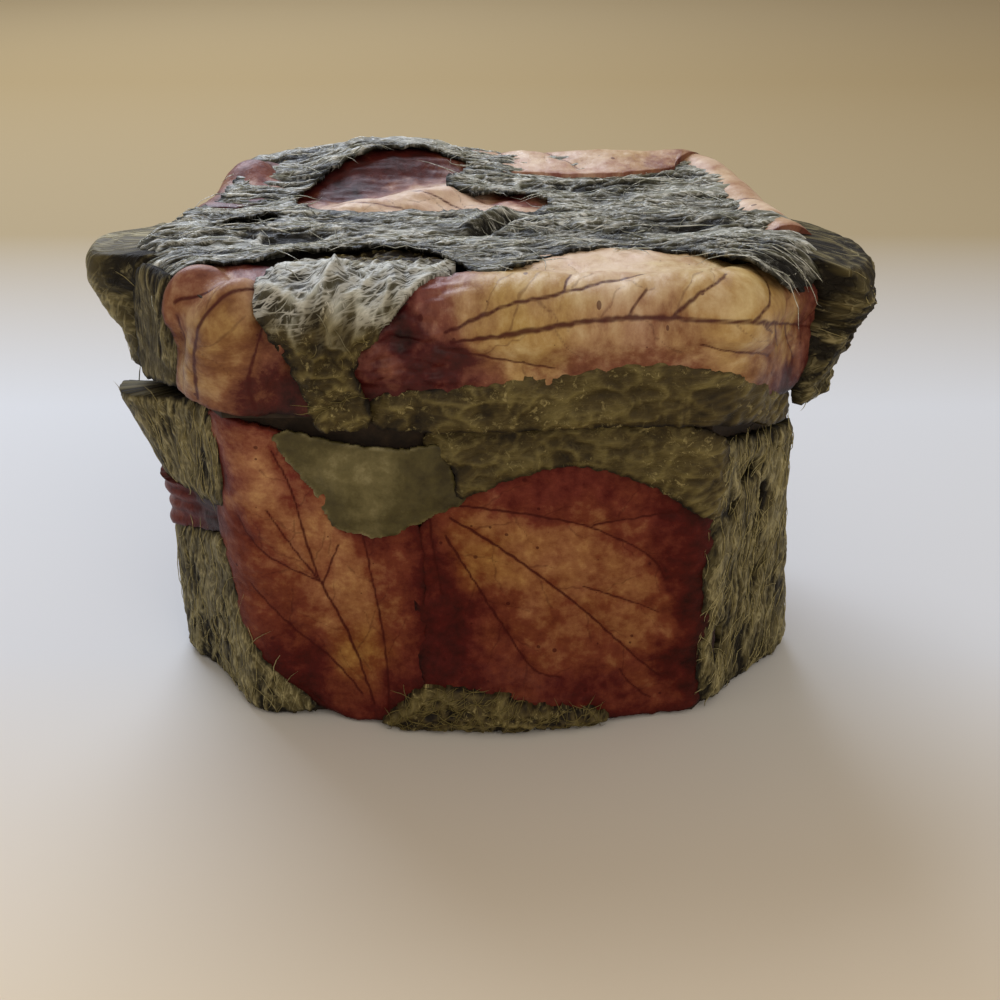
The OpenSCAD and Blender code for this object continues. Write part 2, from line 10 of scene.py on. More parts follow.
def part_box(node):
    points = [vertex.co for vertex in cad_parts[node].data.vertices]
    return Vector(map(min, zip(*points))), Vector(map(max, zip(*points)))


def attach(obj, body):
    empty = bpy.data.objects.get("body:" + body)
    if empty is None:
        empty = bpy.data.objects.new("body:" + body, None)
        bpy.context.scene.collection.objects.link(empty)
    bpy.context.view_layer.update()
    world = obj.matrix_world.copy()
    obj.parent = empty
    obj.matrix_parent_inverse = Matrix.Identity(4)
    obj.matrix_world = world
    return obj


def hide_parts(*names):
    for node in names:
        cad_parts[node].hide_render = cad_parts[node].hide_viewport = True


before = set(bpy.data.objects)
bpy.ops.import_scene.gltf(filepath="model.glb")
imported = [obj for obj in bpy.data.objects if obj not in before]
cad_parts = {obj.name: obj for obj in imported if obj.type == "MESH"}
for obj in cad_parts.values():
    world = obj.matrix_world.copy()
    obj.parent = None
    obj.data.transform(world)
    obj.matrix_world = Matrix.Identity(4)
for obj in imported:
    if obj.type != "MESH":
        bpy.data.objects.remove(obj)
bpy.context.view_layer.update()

# Boards of the box and its lid: a floor, six walls, a lid board and six rims of brown card.
# They are cut with mitred ends and glued edge to edge, and show inside and in the seam.
MM = 0.001
BOARDS = [
    "floor_board", "left_wall", "front_wall", "right_wall", "back_right_wall", "back_wall",
    "back_left_wall", "lid_board", "lid_left_rim", "lid_front_rim", "lid_right_rim", "lid_back_right_rim",
    "lid_back_rim", "lid_back_left_rim",
]
CARD_FLECK = 1.4
CARD_PULP = 0.12


def linear(code):
    """Linear colour of an sRGB hex code."""
    parts = [int(code[i:i + 2], 16) / 255 for i in (1, 3, 5)]
    return [c / 12.92 if c <= 0.04045 else ((c + 0.055) / 1.055) ** 2.4 for c in parts] + [1]


def add_node(tree, kind, settings=None, inputs=None):
    """Adds a shader node, sets it, and links or fills its inputs."""
    node = tree.nodes.new(kind)
    for key, value in (settings or {}).items():
        if key == "stops":
            elements = node.color_ramp.elements
            for element, (place, code) in zip((elements[0], elements[1]), (value[0], value[-1])):
                element.position = place
                element.color = linear(code)
            for place, code in value[1:-1]:
                elements.new(place).color = linear(code)
        else:
            setattr(node, key, value)
    for key, value in (inputs or {}).items():
        if isinstance(value, bpy.types.NodeSocket):
            tree.links.new(value, node.inputs[key])
        else:
            node.inputs[key].default_value = value
    return node


def start_material(name):
    """An empty material and its node tree."""
    material = bpy.data.materials.new(name)
    material.use_nodes = True
    material.node_tree.nodes.clear()
    return material, material.node_tree


def cloud(tree, spot, size, detail, rough=0.5, bend=0.0):
    """Scattered patches of about a size, in the unit of the spot."""
    return add_node(tree, "ShaderNodeTexNoise", inputs={
        "Vector": spot, "Scale": 1 / size, "Detail": detail, "Roughness": rough,
        "Distortion": bend}).outputs["Fac"]


def ramp(tree, value, stops):
    """Colour of a value along stops of hex codes."""
    return add_node(tree, "ShaderNodeValToRGB", {"stops": stops}, {"Fac": value}).outputs["Color"]


def bumps(tree, height, strength, deep, under=None):
    """Normals made uneven by a height, deep in mm, over those of coarser bumps."""
    inputs = {"Height": height, "Strength": strength, "Distance": deep * MM}
    if under is not None:
        inputs["Normal"] = under
    return add_node(tree, "ShaderNodeBump", inputs=inputs).outputs["Normal"]


def coat(tree, colour, rough, normal=None, shine=0.5):
    """Closes a material with a plain surface of the given colour, roughness and normals."""
    inputs = {"Base Color": colour, "Roughness": rough, "Specular IOR Level": shine}
    if normal is not None:
        inputs["Normal"] = normal
    shader = add_node(tree, "ShaderNodeBsdfPrincipled", inputs=inputs)
    add_node(tree, "ShaderNodeOutputMaterial", inputs={"Surface": shader.outputs["BSDF"]})


def brown_card():
    """Pressed brown card, darkened nearly to black as painted shade where it shows in the seam: matt, with
    soft flecks and a fine pulp tooth.
    """
    material, tree = start_material("brown_card")
    spot = add_node(tree, "ShaderNodeTexCoord").outputs["Object"]
    fleck = cloud(tree, spot, CARD_FLECK * MM, 6, 0.7)
    pulp = cloud(tree, spot, CARD_PULP * MM, 2)
    colour = ramp(tree, fleck, [(0.3, "#1c140d"), (0.5, "#2b2016"), (0.72, "#3d2e1f")])
    coat(tree, colour, 0.85, bumps(tree, pulp, 0.4, 0.05))
    return material


card = brown_card()
for board in BOARDS:
    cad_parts[board].data.materials.clear()
    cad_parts[board].data.materials.append(card)


# Two red leaves on the front: pressed leaves with dark vein fans, glued flat to the wall and varnished.
# Positions on the sides are s, the way round the box in mm from the front's middle, and z, the height.
TRACK_STEP = 0.1
CORNER_EASE = 3
FRONT_RIGHT = (27, -23)
LEAF_PITCH = 0.2
LEAF_EDGE = 0.9
LEAF_WRINKLE = 0.2
TWIG_REACH = 6
VEIN_TAPER = 0.35
VEIN_SCALE = 0.13
VEIN_NET = 1.3
SPECKS_APART = 1.9
LAID = "_sheet"
OUTLINE_ROUND = 3.0
HAIR_APART = 10
HAIR_MARK = 10
HAIR_THICK = 0.055
FAR = 1e9

floor_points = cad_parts["floor_board"].data.vertices
floor_spots = {(round(v.co.x / MM, 2), round(v.co.y / MM, 2)) for v in floor_points}
plan = np.array(sorted(floor_spots, key=lambda spot: math.atan2(spot[0], -spot[1])))
off_corner = np.where(plan[:, 0] > 0, np.hypot(*(plan - FRONT_RIGHT).T), FAR)
plan = np.roll(plan, -int(np.argmin(off_corner)), axis=0)


def walk_round(corners):
    """Points, outward normals and length of the way round the walls, with eased corners."""
    start = (corners[-1] + corners[0]) / 2
    stops = np.vstack([start, corners, start])
    run = np.concatenate([[0], np.cumsum(np.hypot(*np.diff(stops, axis=0).T))])
    count = int(run[-1] / TRACK_STEP)
    at = np.arange(count) * run[-1] / count
    line = np.stack([np.interp(at, run, stops[:, i]) for i in (0, 1)], 1)
    reach = int(CORNER_EASE / TRACK_STEP)
    eased = sum(np.roll(line, k, 0) for k in range(-reach, reach + 1)) / (2 * reach + 1)
    tangent = np.roll(eased, -1, 0) - np.roll(eased, 1, 0)
    tangent /= np.hypot(*tangent.T)[:, None]
    return at, eased, np.stack([tangent[:, 1], -tangent[:, 0]], 1), run[-1]


track_at, track, track_out, girth = walk_round(plan)


def on_side(s, z, out):
    """Point at s round the walls and height z, a distance out from the walls' outer faces."""
    x, y, nx, ny = (np.interp(s, track_at, column, period=girth) for column in (*track.T, *track_out.T))
    return np.stack([x + nx * out, y + ny * out, z], 1)


def ease(low, high, value):
    """Smooth step from 0 at low to 1 at high."""
    share = np.clip((value - low) / (high - low), 0, 1)
    return share * share * (3 - 2 * share)


def noise(x, y, seed):
    """Smooth scatter between about -1 and 1 over a plane, the same at every run."""
    col, row = np.floor(x), np.floor(y)
    fx, fy = x - col, y - row

    def pull(dx, dy):
        turn = np.sin((col + dx) * 127.1 + (row + dy) * 311.7 + seed * 74.7) * 43758.5453
        turn = (turn - np.floor(turn)) * 2 * math.pi
        return np.cos(turn) * (fx - dx) + np.sin(turn) * (fy - dy)

    sx = fx * fx * fx * (fx * (fx * 6 - 15) + 10)
    sy = fy * fy * fy * (fy * (fy * 6 - 15) + 10)
    low = pull(0, 0) * (1 - sx) + pull(1, 0) * sx
    high = pull(0, 1) * (1 - sx) + pull(1, 1) * sx
    return 1.5 * (low * (1 - sy) + high * sy)


def crumple(x, y, seed):
    """Scatter in three sizes, each half as large and half as strong as the one before."""
    broad = noise(x, y, seed) + 0.5 * noise(2.1 * x, 2.1 * y, seed + 11)
    return broad + 0.25 * noise(4.3 * x, 4.3 * y, seed + 23)


def soften(points):
    """Rounds the corners of a closed outline."""
    ring = np.array(points, float)
    for share in (1, 0.4):
        ahead = np.roll(ring, -1, 0) - ring
        length = np.hypot(*ahead.T)
        cut = (np.minimum(OUTLINE_ROUND * share, length * 0.3) / length)[:, None]
        ring = np.stack([ring + ahead * cut, ring + ahead * (1 - cut)], 1).reshape(-1, 2)
    return ring


def depth_in(flat, ring):
    """How far each point lies inside a closed ring, and the ring's nearest point."""
    best = np.full(len(flat), FAR)
    nearest = np.zeros_like(flat)
    inside = np.zeros(len(flat), bool)
    for a, b in zip(ring, np.roll(ring, -1, 0)):
        edge = b - a
        share = np.clip((flat - a) @ edge / (edge @ edge), 0, 1)
        foot = a + share[:, None] * edge
        gap = np.hypot(*(flat - foot).T)
        closer = gap < best
        best[closer] = gap[closer]
        nearest[closer] = foot[closer]
        if edge[1]:
            crossing = (a[1] > flat[:, 1]) != (b[1] > flat[:, 1])
            inside ^= crossing & (flat[:, 0] < a[0] + (flat[:, 1] - a[1]) * edge[0] / edge[1])
    return np.where(inside, best, -best), nearest


def lay_hairs(spots, roots, long, grain, stray, seed):
    """Bends straight strands along a grain over the given roots: places, and how far they stand off."""
    pick = np.random.default_rng(seed)
    which = np.round(spots[:, 0] / HAIR_APART).astype(int)
    count = which.max() + 1
    along = spots[:, 2] - HAIR_MARK - 0.5
    root = roots[pick.integers(len(roots), size=count)][which]
    heading = np.radians(grain + stray * pick.standard_normal(count))[which]
    way = heading + pick.uniform(-1.3, 1.3, count)[which] * along
    ahead = np.stack([np.cos(way), np.sin(way)], 1)
    reach = long * pick.uniform(0.4, 1.3, count)[which] * along
    slim = HAIR_THICK * (1.1 - np.abs(2 * along) ** 3)
    aside = (slim * (spots[:, 0] - HAIR_APART * which))[:, None] * ahead[:, ::-1] * [-1, 1]
    flat = root + reach[:, None] * ahead + aside
    rise = pick.uniform(0.02, 0.18, count)[which] * (1 - (2 * along) ** 2) + slim * spots[:, 1]
    return flat, rise


def sheet(node, outline, surface, place, pitch, tear=0.3, tear_size=1.6, holes=(), hairs=None, seed=1):
    """A fine grid cut to a torn outline, given a back and loose hairs, and laid where place puts it.
    Hairs are a count, a length in mm, a grain in degrees and how far they stray from it."""
    ring = soften(outline)
    rings = [(ring, 1)] + [(soften(hole), -1) for hole in holes]

    def margin(flat):
        depth = np.full(len(flat), FAR)
        inward = np.zeros_like(flat)
        for line, sign in rings:
            own, nearest = depth_in(flat, line)
            toward = (flat - nearest) / np.where(np.abs(own) < 1e-6, 1e-6, own)[:, None]
            closer = own * sign < depth
            depth[closer] = own[closer] * sign
            inward[closer] = toward[closer] * sign
        return depth + tear * crumple(flat[:, 0] / tear_size, flat[:, 1] / tear_size, seed), inward

    low, high = ring.min(0) - 1, ring.max(0) + 1
    count = np.ceil((high - low) / pitch).astype(int)
    spread = Matrix.Translation((*(low + high) / 2, 0)) @ Matrix.Diagonal((*(high - low), 1, 1))
    bm = bmesh.new()
    bmesh.ops.create_grid(bm, x_segments=int(count[0]), y_segments=int(count[1]), size=0.5, matrix=spread)
    depth = margin(np.array([v.co[:2] for v in bm.verts]))[0]
    bmesh.ops.delete(bm, geom=[v for v, d in zip(bm.verts, depth) if d < 0], context="VERTS")
    while True:
        poor = [v for v in bm.verts if not v.link_faces
                or v.is_boundary and sum(e.is_boundary for e in v.link_edges) > 2]
        if not poor:
            break
        bmesh.ops.delete(bm, geom=poor, context="VERTS")
    rim = [v for v in bm.verts if v.is_boundary]
    rim_flat = np.array([v.co[:2] for v in rim])
    depth, inward = margin(rim_flat)
    rim_flat -= inward * np.clip(depth, 0, 0.9 * np.max(pitch))[:, None]
    for v, spot in zip(rim, rim_flat):
        v.co.xy = spot
    made = bmesh.ops.extrude_face_region(bm, geom=bm.faces[:])
    for part in made["geom"]:
        if isinstance(part, bmesh.types.BMVert):
            part.co.z = 1
    if hairs:
        for k in range(hairs[0]):
            bmesh.ops.create_cone(bm, cap_ends=True, segments=3, radius1=1, radius2=1, depth=1,
                                  matrix=Matrix.Translation((HAIR_APART * k, 0, HAIR_MARK + 0.5)))
        shafts = [e for e in bm.edges
                  if e.verts[0].co.z > 2 and abs(e.verts[0].co.z - e.verts[1].co.z) > 0.5]
        bmesh.ops.subdivide_edges(bm, edges=shafts, cuts=6)
    bmesh.ops.recalc_face_normals(bm, faces=bm.faces[:])
    mesh = bpy.data.meshes.new(node + LAID)
    bm.to_mesh(mesh)
    bm.free()

    spots = np.empty(len(mesh.vertices) * 3, np.float32)
    mesh.vertices.foreach_get("co", spots)
    spots = spots.reshape(-1, 3).astype(float)
    flat, front = spots[:, :2].copy(), spots[:, 2] > 0.5
    loose = spots[:, 2] > 2
    rise = np.zeros(len(flat))
    if hairs:
        flat[loose], rise[loose] = lay_hairs(spots[loose], flat[~loose], *hairs[1:], seed)
        flat = np.clip(flat, ring.min(0), ring.max(0))
    looks = surface(flat, np.maximum(margin(flat)[0], 0))
    lift = np.where(front, looks.pop("lift"), looks.pop("base")) + rise
    if hairs:
        looks["crest"][loose] = 1.2
    laid = place(flat[:, 0], flat[:, 1], lift) * MM
    mesh.vertices.foreach_set("co", laid.astype(np.float32).ravel())
    for key, values in looks.items():
        kind, field = ("FLOAT_VECTOR", "vector") if values.ndim == 2 else ("FLOAT", "value")
        values = values.astype(np.float32).ravel()
        mesh.attributes.new(key, kind, "POINT").data.foreach_set(field, values)
    mesh.shade_smooth()
    mesh.update()
    piece = bpy.data.objects.new(node + LAID, mesh)
    bpy.context.scene.collection.objects.link(piece)
    return piece


def dress(piece, body, material):
    """Gives a piece its finish and puts it in the place of the node of its name."""
    piece.data.materials.append(material)
    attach(piece, body)
    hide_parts(piece.name.removesuffix(LAID))


def twigs(veins, spacing, reach, seed):
    """Side veins that leave each vein by turns to its left and right, bowed towards its tip."""
    pick = random.Random(seed)
    made = []
    for width, points in veins:
        line = np.array(points, float)
        legs = np.diff(line, axis=0)
        run = np.concatenate([[0], np.cumsum(np.hypot(*legs.T))])
        side = 1
        for at in np.arange(spacing, run[-1], spacing):
            at += pick.uniform(-0.3, 0.3) * spacing
            root = np.array([np.interp(at, run, line[:, i]) for i in (0, 1)])
            leg = legs[min(np.searchsorted(run, at) - 1, len(legs) - 1)]
            heading = math.atan2(leg[1], leg[0]) + side * math.radians(pick.uniform(34, 56))
            bend = heading - side * pick.uniform(0.1, 0.5)
            long = reach * pick.uniform(0.6, 1.1) * (1.1 - 0.5 * at / run[-1])
            middle = root + 0.5 * long * np.array([math.cos(heading), math.sin(heading)])
            tip = middle + 0.5 * long * np.array([math.cos(bend), math.sin(bend)])
            made.append((0.4 * width, [root, middle, tip]))
            side = -side
    return made


def bow(veins):
    """Rounds the bends of veins, keeping their ends."""
    for _ in range(2):
        rounded = []
        for width, points in veins:
            line = np.array(points, float)
            legs = np.diff(line, axis=0)
            cuts = np.stack([line[:-1] + 0.25 * legs, line[:-1] + 0.75 * legs], 1).reshape(-1, 2)
            rounded.append((width, np.vstack([line[:1], cuts[1:-1], line[-1:]])))
        veins = rounded
    return veins


def vein_gap(flat, veins):
    """Distance from each point to the nearest vein's edge."""
    gap = np.full(len(flat), 6.0)
    for width, points in veins:
        line = np.array(points, float)
        taper = np.linspace(1, VEIN_TAPER, len(line)) * width * VEIN_SCALE
        for a, b, wide_a, wide_b in zip(line[:-1], line[1:], taper[:-1], taper[1:]):
            edge = b - a
            share = np.clip((flat - a) @ edge / (edge @ edge), 0, 1)
            off = np.hypot(*(flat - a - share[:, None] * edge).T)
            gap = np.minimum(gap, off - wide_a - (wide_b - wide_a) * share)
    return gap


def leaf(veins, patches, tone, warm, seed, lift=0.9, puff=0.35, swell=None, twig_gap=3.4):
    """Surface of a pressed leaf. A vein is a width and its points.
    A patch is (u, v, reach, tone, warm), with tone from pale to dark and warm from pink to yellow."""
    veins = bow(veins)
    side_veins = bow(twigs(veins, twig_gap, TWIG_REACH, seed))

    def surface(flat, depth):
        u, v = flat.T
        astray = flat + 1.6 * np.stack([crumple(u / 5, v / 5, seed), crumple(u / 5, v / 5, seed + 5)], 1)
        weight = np.full(len(flat), 0.12)
        tones, warms = weight * tone, weight * warm
        for at_u, at_v, reach, own_tone, own_warm in patches:
            near = np.exp(-((astray[:, 0] - at_u) ** 2 + (astray[:, 1] - at_v) ** 2) / reach ** 2)
            weight = weight + near
            tones = tones + near * own_tone
            warms = warms + near * own_warm
        drift = np.stack([noise(u, v, seed + 7), noise(u, v, seed + 8)], 1)
        main = vein_gap(flat + 0.12 * drift, veins)
        drift = np.stack([noise(u / 1.5, v / 1.5, seed + 9), noise(u, v, seed)], 1)
        side = vein_gap(flat + 0.3 * drift, side_veins)
        tones = tones / weight + 0.07 * crumple(u / 3.4, v / 3.4, seed + 2)
        tones = tones + 0.22 * np.exp(-depth / LEAF_EDGE) + 0.1 * np.exp(-np.maximum(main, 0) / 0.8)
        height = puff * (1 - np.exp(-np.maximum(main, 0) / 1.6)) + 0.25 * puff * np.minimum(side, 0.6)
        height = height + LEAF_WRINKLE * crumple(u / 5.5, v / 5.5, seed + 3) * ease(0, 1.5, depth)
        if swell:
            height = height + swell(u, v)
        return {
            "lift": np.maximum(lift + height, 0.25),
            "base": np.full(len(flat), 0.05),
            "tone": tones,
            "warm": warms / weight + 0.15 * crumple(u / 4, v / 4, seed + 4),
            "vein": main,
            "twig": side,
            "lie": np.stack([u, v, np.full(len(flat), 3.7 * seed)], 1),
        }

    return surface


def read(tree, key, socket="Fac"):
    """What the mesh says of its points under a name."""
    return add_node(tree, "ShaderNodeAttribute", {"attribute_name": key}).outputs[socket]


def remap(tree, value, low, high, start, end, soft=False):
    """A value's span from low to high turned into one from start to end, in a soft step or straight."""
    kind = "SMOOTHSTEP" if soft else "LINEAR"
    inputs = {"Value": value, "From Min": low, "From Max": high, "To Min": start, "To Max": end}
    return add_node(tree, "ShaderNodeMapRange", {"interpolation_type": kind}, inputs).outputs["Result"]


def maths(tree, operation, *values):
    """Values put together by an operation."""
    inputs = dict(enumerate(values))
    return add_node(tree, "ShaderNodeMath", {"operation": operation}, inputs).outputs["Value"]


def blend(tree, share, first, second):
    """Two colours mixed, the second by the share."""
    inputs = {0: share, 6: first, 7: second}
    return add_node(tree, "ShaderNodeMix", {"data_type": "RGBA"}, inputs).outputs[2]


def varnished_leaf(name, pink, yellow, vein, shine):
    """Pressed leaf under thin varnish: mottled between two hues, with dark crisp veins and specks.
    The fine net of veinlets shows as a faint relief, and the varnish gives a soft gloss."""
    material, tree = start_material(name)
    lie = read(tree, "lie", "Vector")
    mottle = cloud(tree, lie, 1.7, 7, 0.68)
    tone = maths(tree, "ADD", read(tree, "tone"), remap(tree, mottle, 0.25, 0.75, -0.18, 0.18))
    hue = blend(tree, read(tree, "warm"), ramp(tree, tone, pink), ramp(tree, tone, yellow))
    cells = add_node(tree, "ShaderNodeTexVoronoi", {"feature": "DISTANCE_TO_EDGE"}, {
        "Vector": lie, "Scale": 1 / VEIN_NET}).outputs["Distance"]
    net = remap(tree, cells, 0, 0.1, 1, 0, soft=True)
    specks = add_node(tree, "ShaderNodeTexVoronoi", inputs={"Vector": lie, "Scale": 1 / SPECKS_APART})
    chance = add_node(tree, "ShaderNodeSeparateColor", inputs={"Color": specks.outputs["Color"]})
    speck_size = remap(tree, chance.outputs["Red"], 0.35, 1, 0, 0.15)
    speck = maths(tree, "LESS_THAN", specks.outputs["Distance"], speck_size)
    main = remap(tree, read(tree, "vein"), 0, 0.2, 0.9, 0, soft=True)
    side = remap(tree, read(tree, "twig"), 0, 0.16, 0.4, 0, soft=True)
    lined = maths(tree, "MAXIMUM", main, side)
    dotted = maths(tree, "MAXIMUM", maths(tree, "MULTIPLY", net, 0.02), maths(tree, "MULTIPLY", speck, 0.7))
    colour = blend(tree, maths(tree, "MAXIMUM", lined, dotted), hue, linear(vein))
    dimpled = bumps(tree, cloud(tree, lie, 0.6, 5, 0.7, 0.5), 0.35, 0.15)
    relief = maths(tree, "SUBTRACT", mottle, maths(tree, "MULTIPLY", net, 0.08))
    gloss = remap(tree, mottle, 0.3, 0.7, 0.32, 0.5)
    coat(tree, colour, gloss, bumps(tree, relief, 0.5, 0.2, dimpled), shine)
    return material


red_leaf = varnished_leaf(
    "varnished_red_leaf",
    [(0.05, "#c4966c"), (0.3, "#966148"), (0.5, "#6e2f25"), (0.72, "#4d1310"), (0.98, "#260705")],
    [(0.05, "#c8a25c"), (0.3, "#986d39"), (0.5, "#77441f"), (0.72, "#4f1a0b"), (0.98, "#260a04")],
    "#3c0804", 0.12)


def belly(s, z):
    """The wall's cladding swells at the front's foot and stands off at the two front side corners."""
    foot = 3.2 * np.exp(-(z / 8) ** 2) * np.clip(1 - ((s - 1) / 22) ** 2, 0, 1)
    flare = 4.6 * np.clip((z - 22) / 15, 0, 1.2) ** 1.5 * np.exp(-((s + 46.7) / 7) ** 2)
    heel = 1.8 * np.clip(1 - z / 25, 0, 1) * np.exp(-((s - 46.7) / 7) ** 2)
    tuck = 0.9 * np.clip(1 - z / 12, 0, 1) * ease(-27, -33, s) * ease(-43, -38, s)
    return foot + flare + heel - tuck


def on_body(s, z, lift):
    """Lays a sheet on the box's walls."""
    return on_side(s, z, lift + belly(s, z) * ease(0.05, 0.6, lift))


dress(sheet("front_left_leaf", [
    (-33, 40.8), (-32.5, 30), (-32, 20), (-29.5, 11), (-25.5, 5.5), (-21, 2), (-17, 0.5), (-11, 0.5),
    (-7, 3), (-6.2, 6), (-6.2, 17), (-6.2, 27), (-9, 31), (-12, 36), (-18, 38), (-22, 39), (-27, 40.5)],
    leaf([
        (0.34, [(-10.9, 2.1), (-10.9, 7.4), (-12.1, 17.5), (-13.3, 25.7)]),
        (0.5, [(-12.7, 2.9), (-15.9, 13.2), (-18.8, 19.5), (-20.2, 25.7), (-21.3, 32.2), (-23.3, 36.7)]),
        (0.32, [(-18.8, 19.5), (-21.8, 24.3), (-24.4, 29.0)]), (0.2, [(-18.4, 19.1), (-16.3, 24.3)]),
        (0.36, [(-14.2, 4.2), (-17.4, 8.1), (-21.5, 11.8), (-27.0, 18.8)]),
        (0.28, [(-18.8, 19.5), (-24.3, 22.3), (-27.0, 25.7), (-28.0, 27.7)]),
        (0.3, [(-17.5, 0.6), (-19.1, 2.0), (-21.9, 4.4)])
    ], [
        (-28.2, 38.6, 4, 0.42, 0.05), (-25.2, 33.5, 4, 0.16, 0.15), (-20.8, 26, 4.5, 0.2, 0.35),
        (-26, 24, 4, 0.56, 0.35), (-14.6, 17.5, 4.5, 0.26, 0.45), (-14.4, 9.6, 3.5, 0.3, 1.2),
        (-22.4, 7.4, 4.5, 0.78, 0.1), (-12.8, 30.5, 4, 0.72, 0.05), (-6.8, 17.5, 4, 0.7, 0.1),
        (-24, 15, 4, 0.52, 0.35), (-19, 34, 3, 0.62, 0.05), (-11, 13, 3, 0.4, 0.6), (-9, 6, 4, 0.72, 0.05),
        (-31.5, 33, 2.5, 0.9, 0.1)
    ], 0.5, 0.3, 3),
    on_body, LEAF_PITCH, tear=0.2, seed=3), "box", red_leaf)
dress(sheet("front_right_leaf", [
    (-7.5, 8), (-7.5, 24), (-5.5, 29.5), (-1, 33), (5, 36), (12, 37.5), (19, 36), (24, 34), (28, 31),
    (29.5, 24), (29.5, 10), (29, 3), (27, 0.5), (19, 0.5), (14, 1.5), (8, 1.5), (1, 2), (-5, 3)],
    leaf([
        (0.36, [(-3.0, 29.9), (7.4, 28.3), (13.3, 27.0), (20.4, 23.4), (22.6, 20)]),
        (0.6, [(-3.0, 28.1), (5.2, 22.3), (12.4, 16.0), (18.7, 9.6), (22.5, 5.9)]),
        (0.42, [(-3.6, 25.7), (0.4, 18.1), (5.2, 9.6), (7.1, 7.1), (10.2, 6.6)]),
        (0.34, [(-5.4, 27.7), (-5, 23), (-4.1, 17.5)]), (0.22, [(12.8, 18.6), (17.2, 17.2), (22.0, 15.1)]),
        (0.22, [(17.5, 7.2), (18.9, 5.2), (21.4, 2.9)]), (0.2, [(13.6, 27), (18, 28), (23.5, 28.8)])
    ], [
        (6.3, 23.5, 5.5, 0.26, 0.6), (18.3, 17.5, 6, 0.33, 0.55), (10.8, 33.5, 5, 0.62, -0.1),
        (26.6, 17.5, 4, 1.0, 0.15), (27, 27, 4, 0.9, 0.1), (27, 8, 4, 0.98, 0.2),
        (-2.7, 11.8, 5, 0.84, -0.05), (1.6, 11.8, 3.2, 0.42, 0.5), (0.4, 21.6, 3.2, 0.34, 1.1),
        (21, 5, 3, 0.45, 0.4), (14, 4.5, 4, 0.72, 0.15), (10, 12, 4, 0.46, 0.45), (22.7, 25.7, 4, 0.64, 0),
        (-5, 20, 3, 0.72, 0.05), (13, 22, 5, 0.34, 0.45), (5, 31, 3, 0.58, 0)
    ], 0.55, 0.3, 5),
    on_body, LEAF_PITCH, tear=0.2, seed=5), "box", red_leaf)


# Smooth green leaf flap folded down from the seam over the front's two leaves.
# It is a thicker waxy leaf with a pale cut edge and a lighter streak, glued at its top.
FLAP_PITCH = 0.25


def waxy_leaf():
    """Thick dry green leaf: nearly even olive, waxy and fairly matt, with pale scuffs and a light rim."""
    material, tree = start_material("waxy_green_leaf")
    lie = read(tree, "lie", "Vector")
    shade = remap(tree, cloud(tree, lie, 2.2, 8, 0.7), 0.3, 0.7, -0.2, 0.2)
    colour = ramp(tree, maths(tree, "ADD", read(tree, "tone"), shade), [
        (0.05, "#332c14"), (0.35, "#4f4827"), (0.6, "#6b633f"), (0.95, "#a39a73")])
    scuff = cloud(tree, lie, 0.5, 4, 0.7)
    gloss = remap(tree, scuff, 0.3, 0.7, 0.4, 0.6)
    coat(tree, colour, gloss, bumps(tree, scuff, 0.35, 0.12), 0.3)
    return material


def flap(flat, depth):
    """Surface of the flap: a low swell, a pale streak down its middle and a pale rim."""
    u, v = flat.T
    streak = np.exp(-((u + 11.5 - 0.3 * (v - 32)) / 2.4) ** 2)
    bloom = np.exp(-((u + 15) / 4.5) ** 2 - ((v - 34.5) / 3) ** 2)
    hem = np.exp(-(depth / 0.22) ** 2) * ease(-0.5, 0.2, noise(u / 1.5, v / 1.5, 62))
    tone = 0.27 + 0.2 * streak + 0.34 * bloom + 0.35 * hem - 0.1 * ease(-8, -3, u)
    return {
        "lift": 1.45 + 0.4 * ease(0, 4, depth) + 0.3 * crumple(u / 6, v / 6, 61),
        "base": np.full(len(flat), 0.95),
        "tone": tone,
        "lie": np.stack([u, v, np.full(len(flat), 9.0)], 1),
    }


dress(sheet("front_flap_leaf", [
    (-23.4, 38.4), (-22, 39.6), (-18.7, 38.9), (-16, 37.9), (-13.4, 37.5), (-9.8, 37.1), (-6.7, 37.2),
    (-3.6, 37.9), (-2.7, 35.4), (-2.6, 32.4), (-0.8, 31), (-2, 29.6), (-5.4, 28.3), (-8.5, 26.5),
    (-10.9, 25.3), (-12.5, 25.6), (-15.6, 26.6), (-16.9, 27.4), (-17.8, 29.8), (-19.8, 33.5), (-22, 36.2)],
    flap,
    on_body, FLAP_PITCH, tear=0.3, tear_size=1.2, seed=9), "box", waxy_leaf())


# Bark on the front: a strip along the seam and a patch of tangled bast at the foot.
# Both are torn inner bark, soaked, pressed on and dried, so that their fibres stand up in ridges.
UPRIGHT_PITCH = np.array([0.2, 0.36])
LYING_PITCH = np.array([0.36, 0.2])
SKIN_PITCH = 0.25
TANGLE_PITCH = 0.2
FIBRE_LONG = 8
FIBRE_WIDE = 0.8
RASTER = 0.12


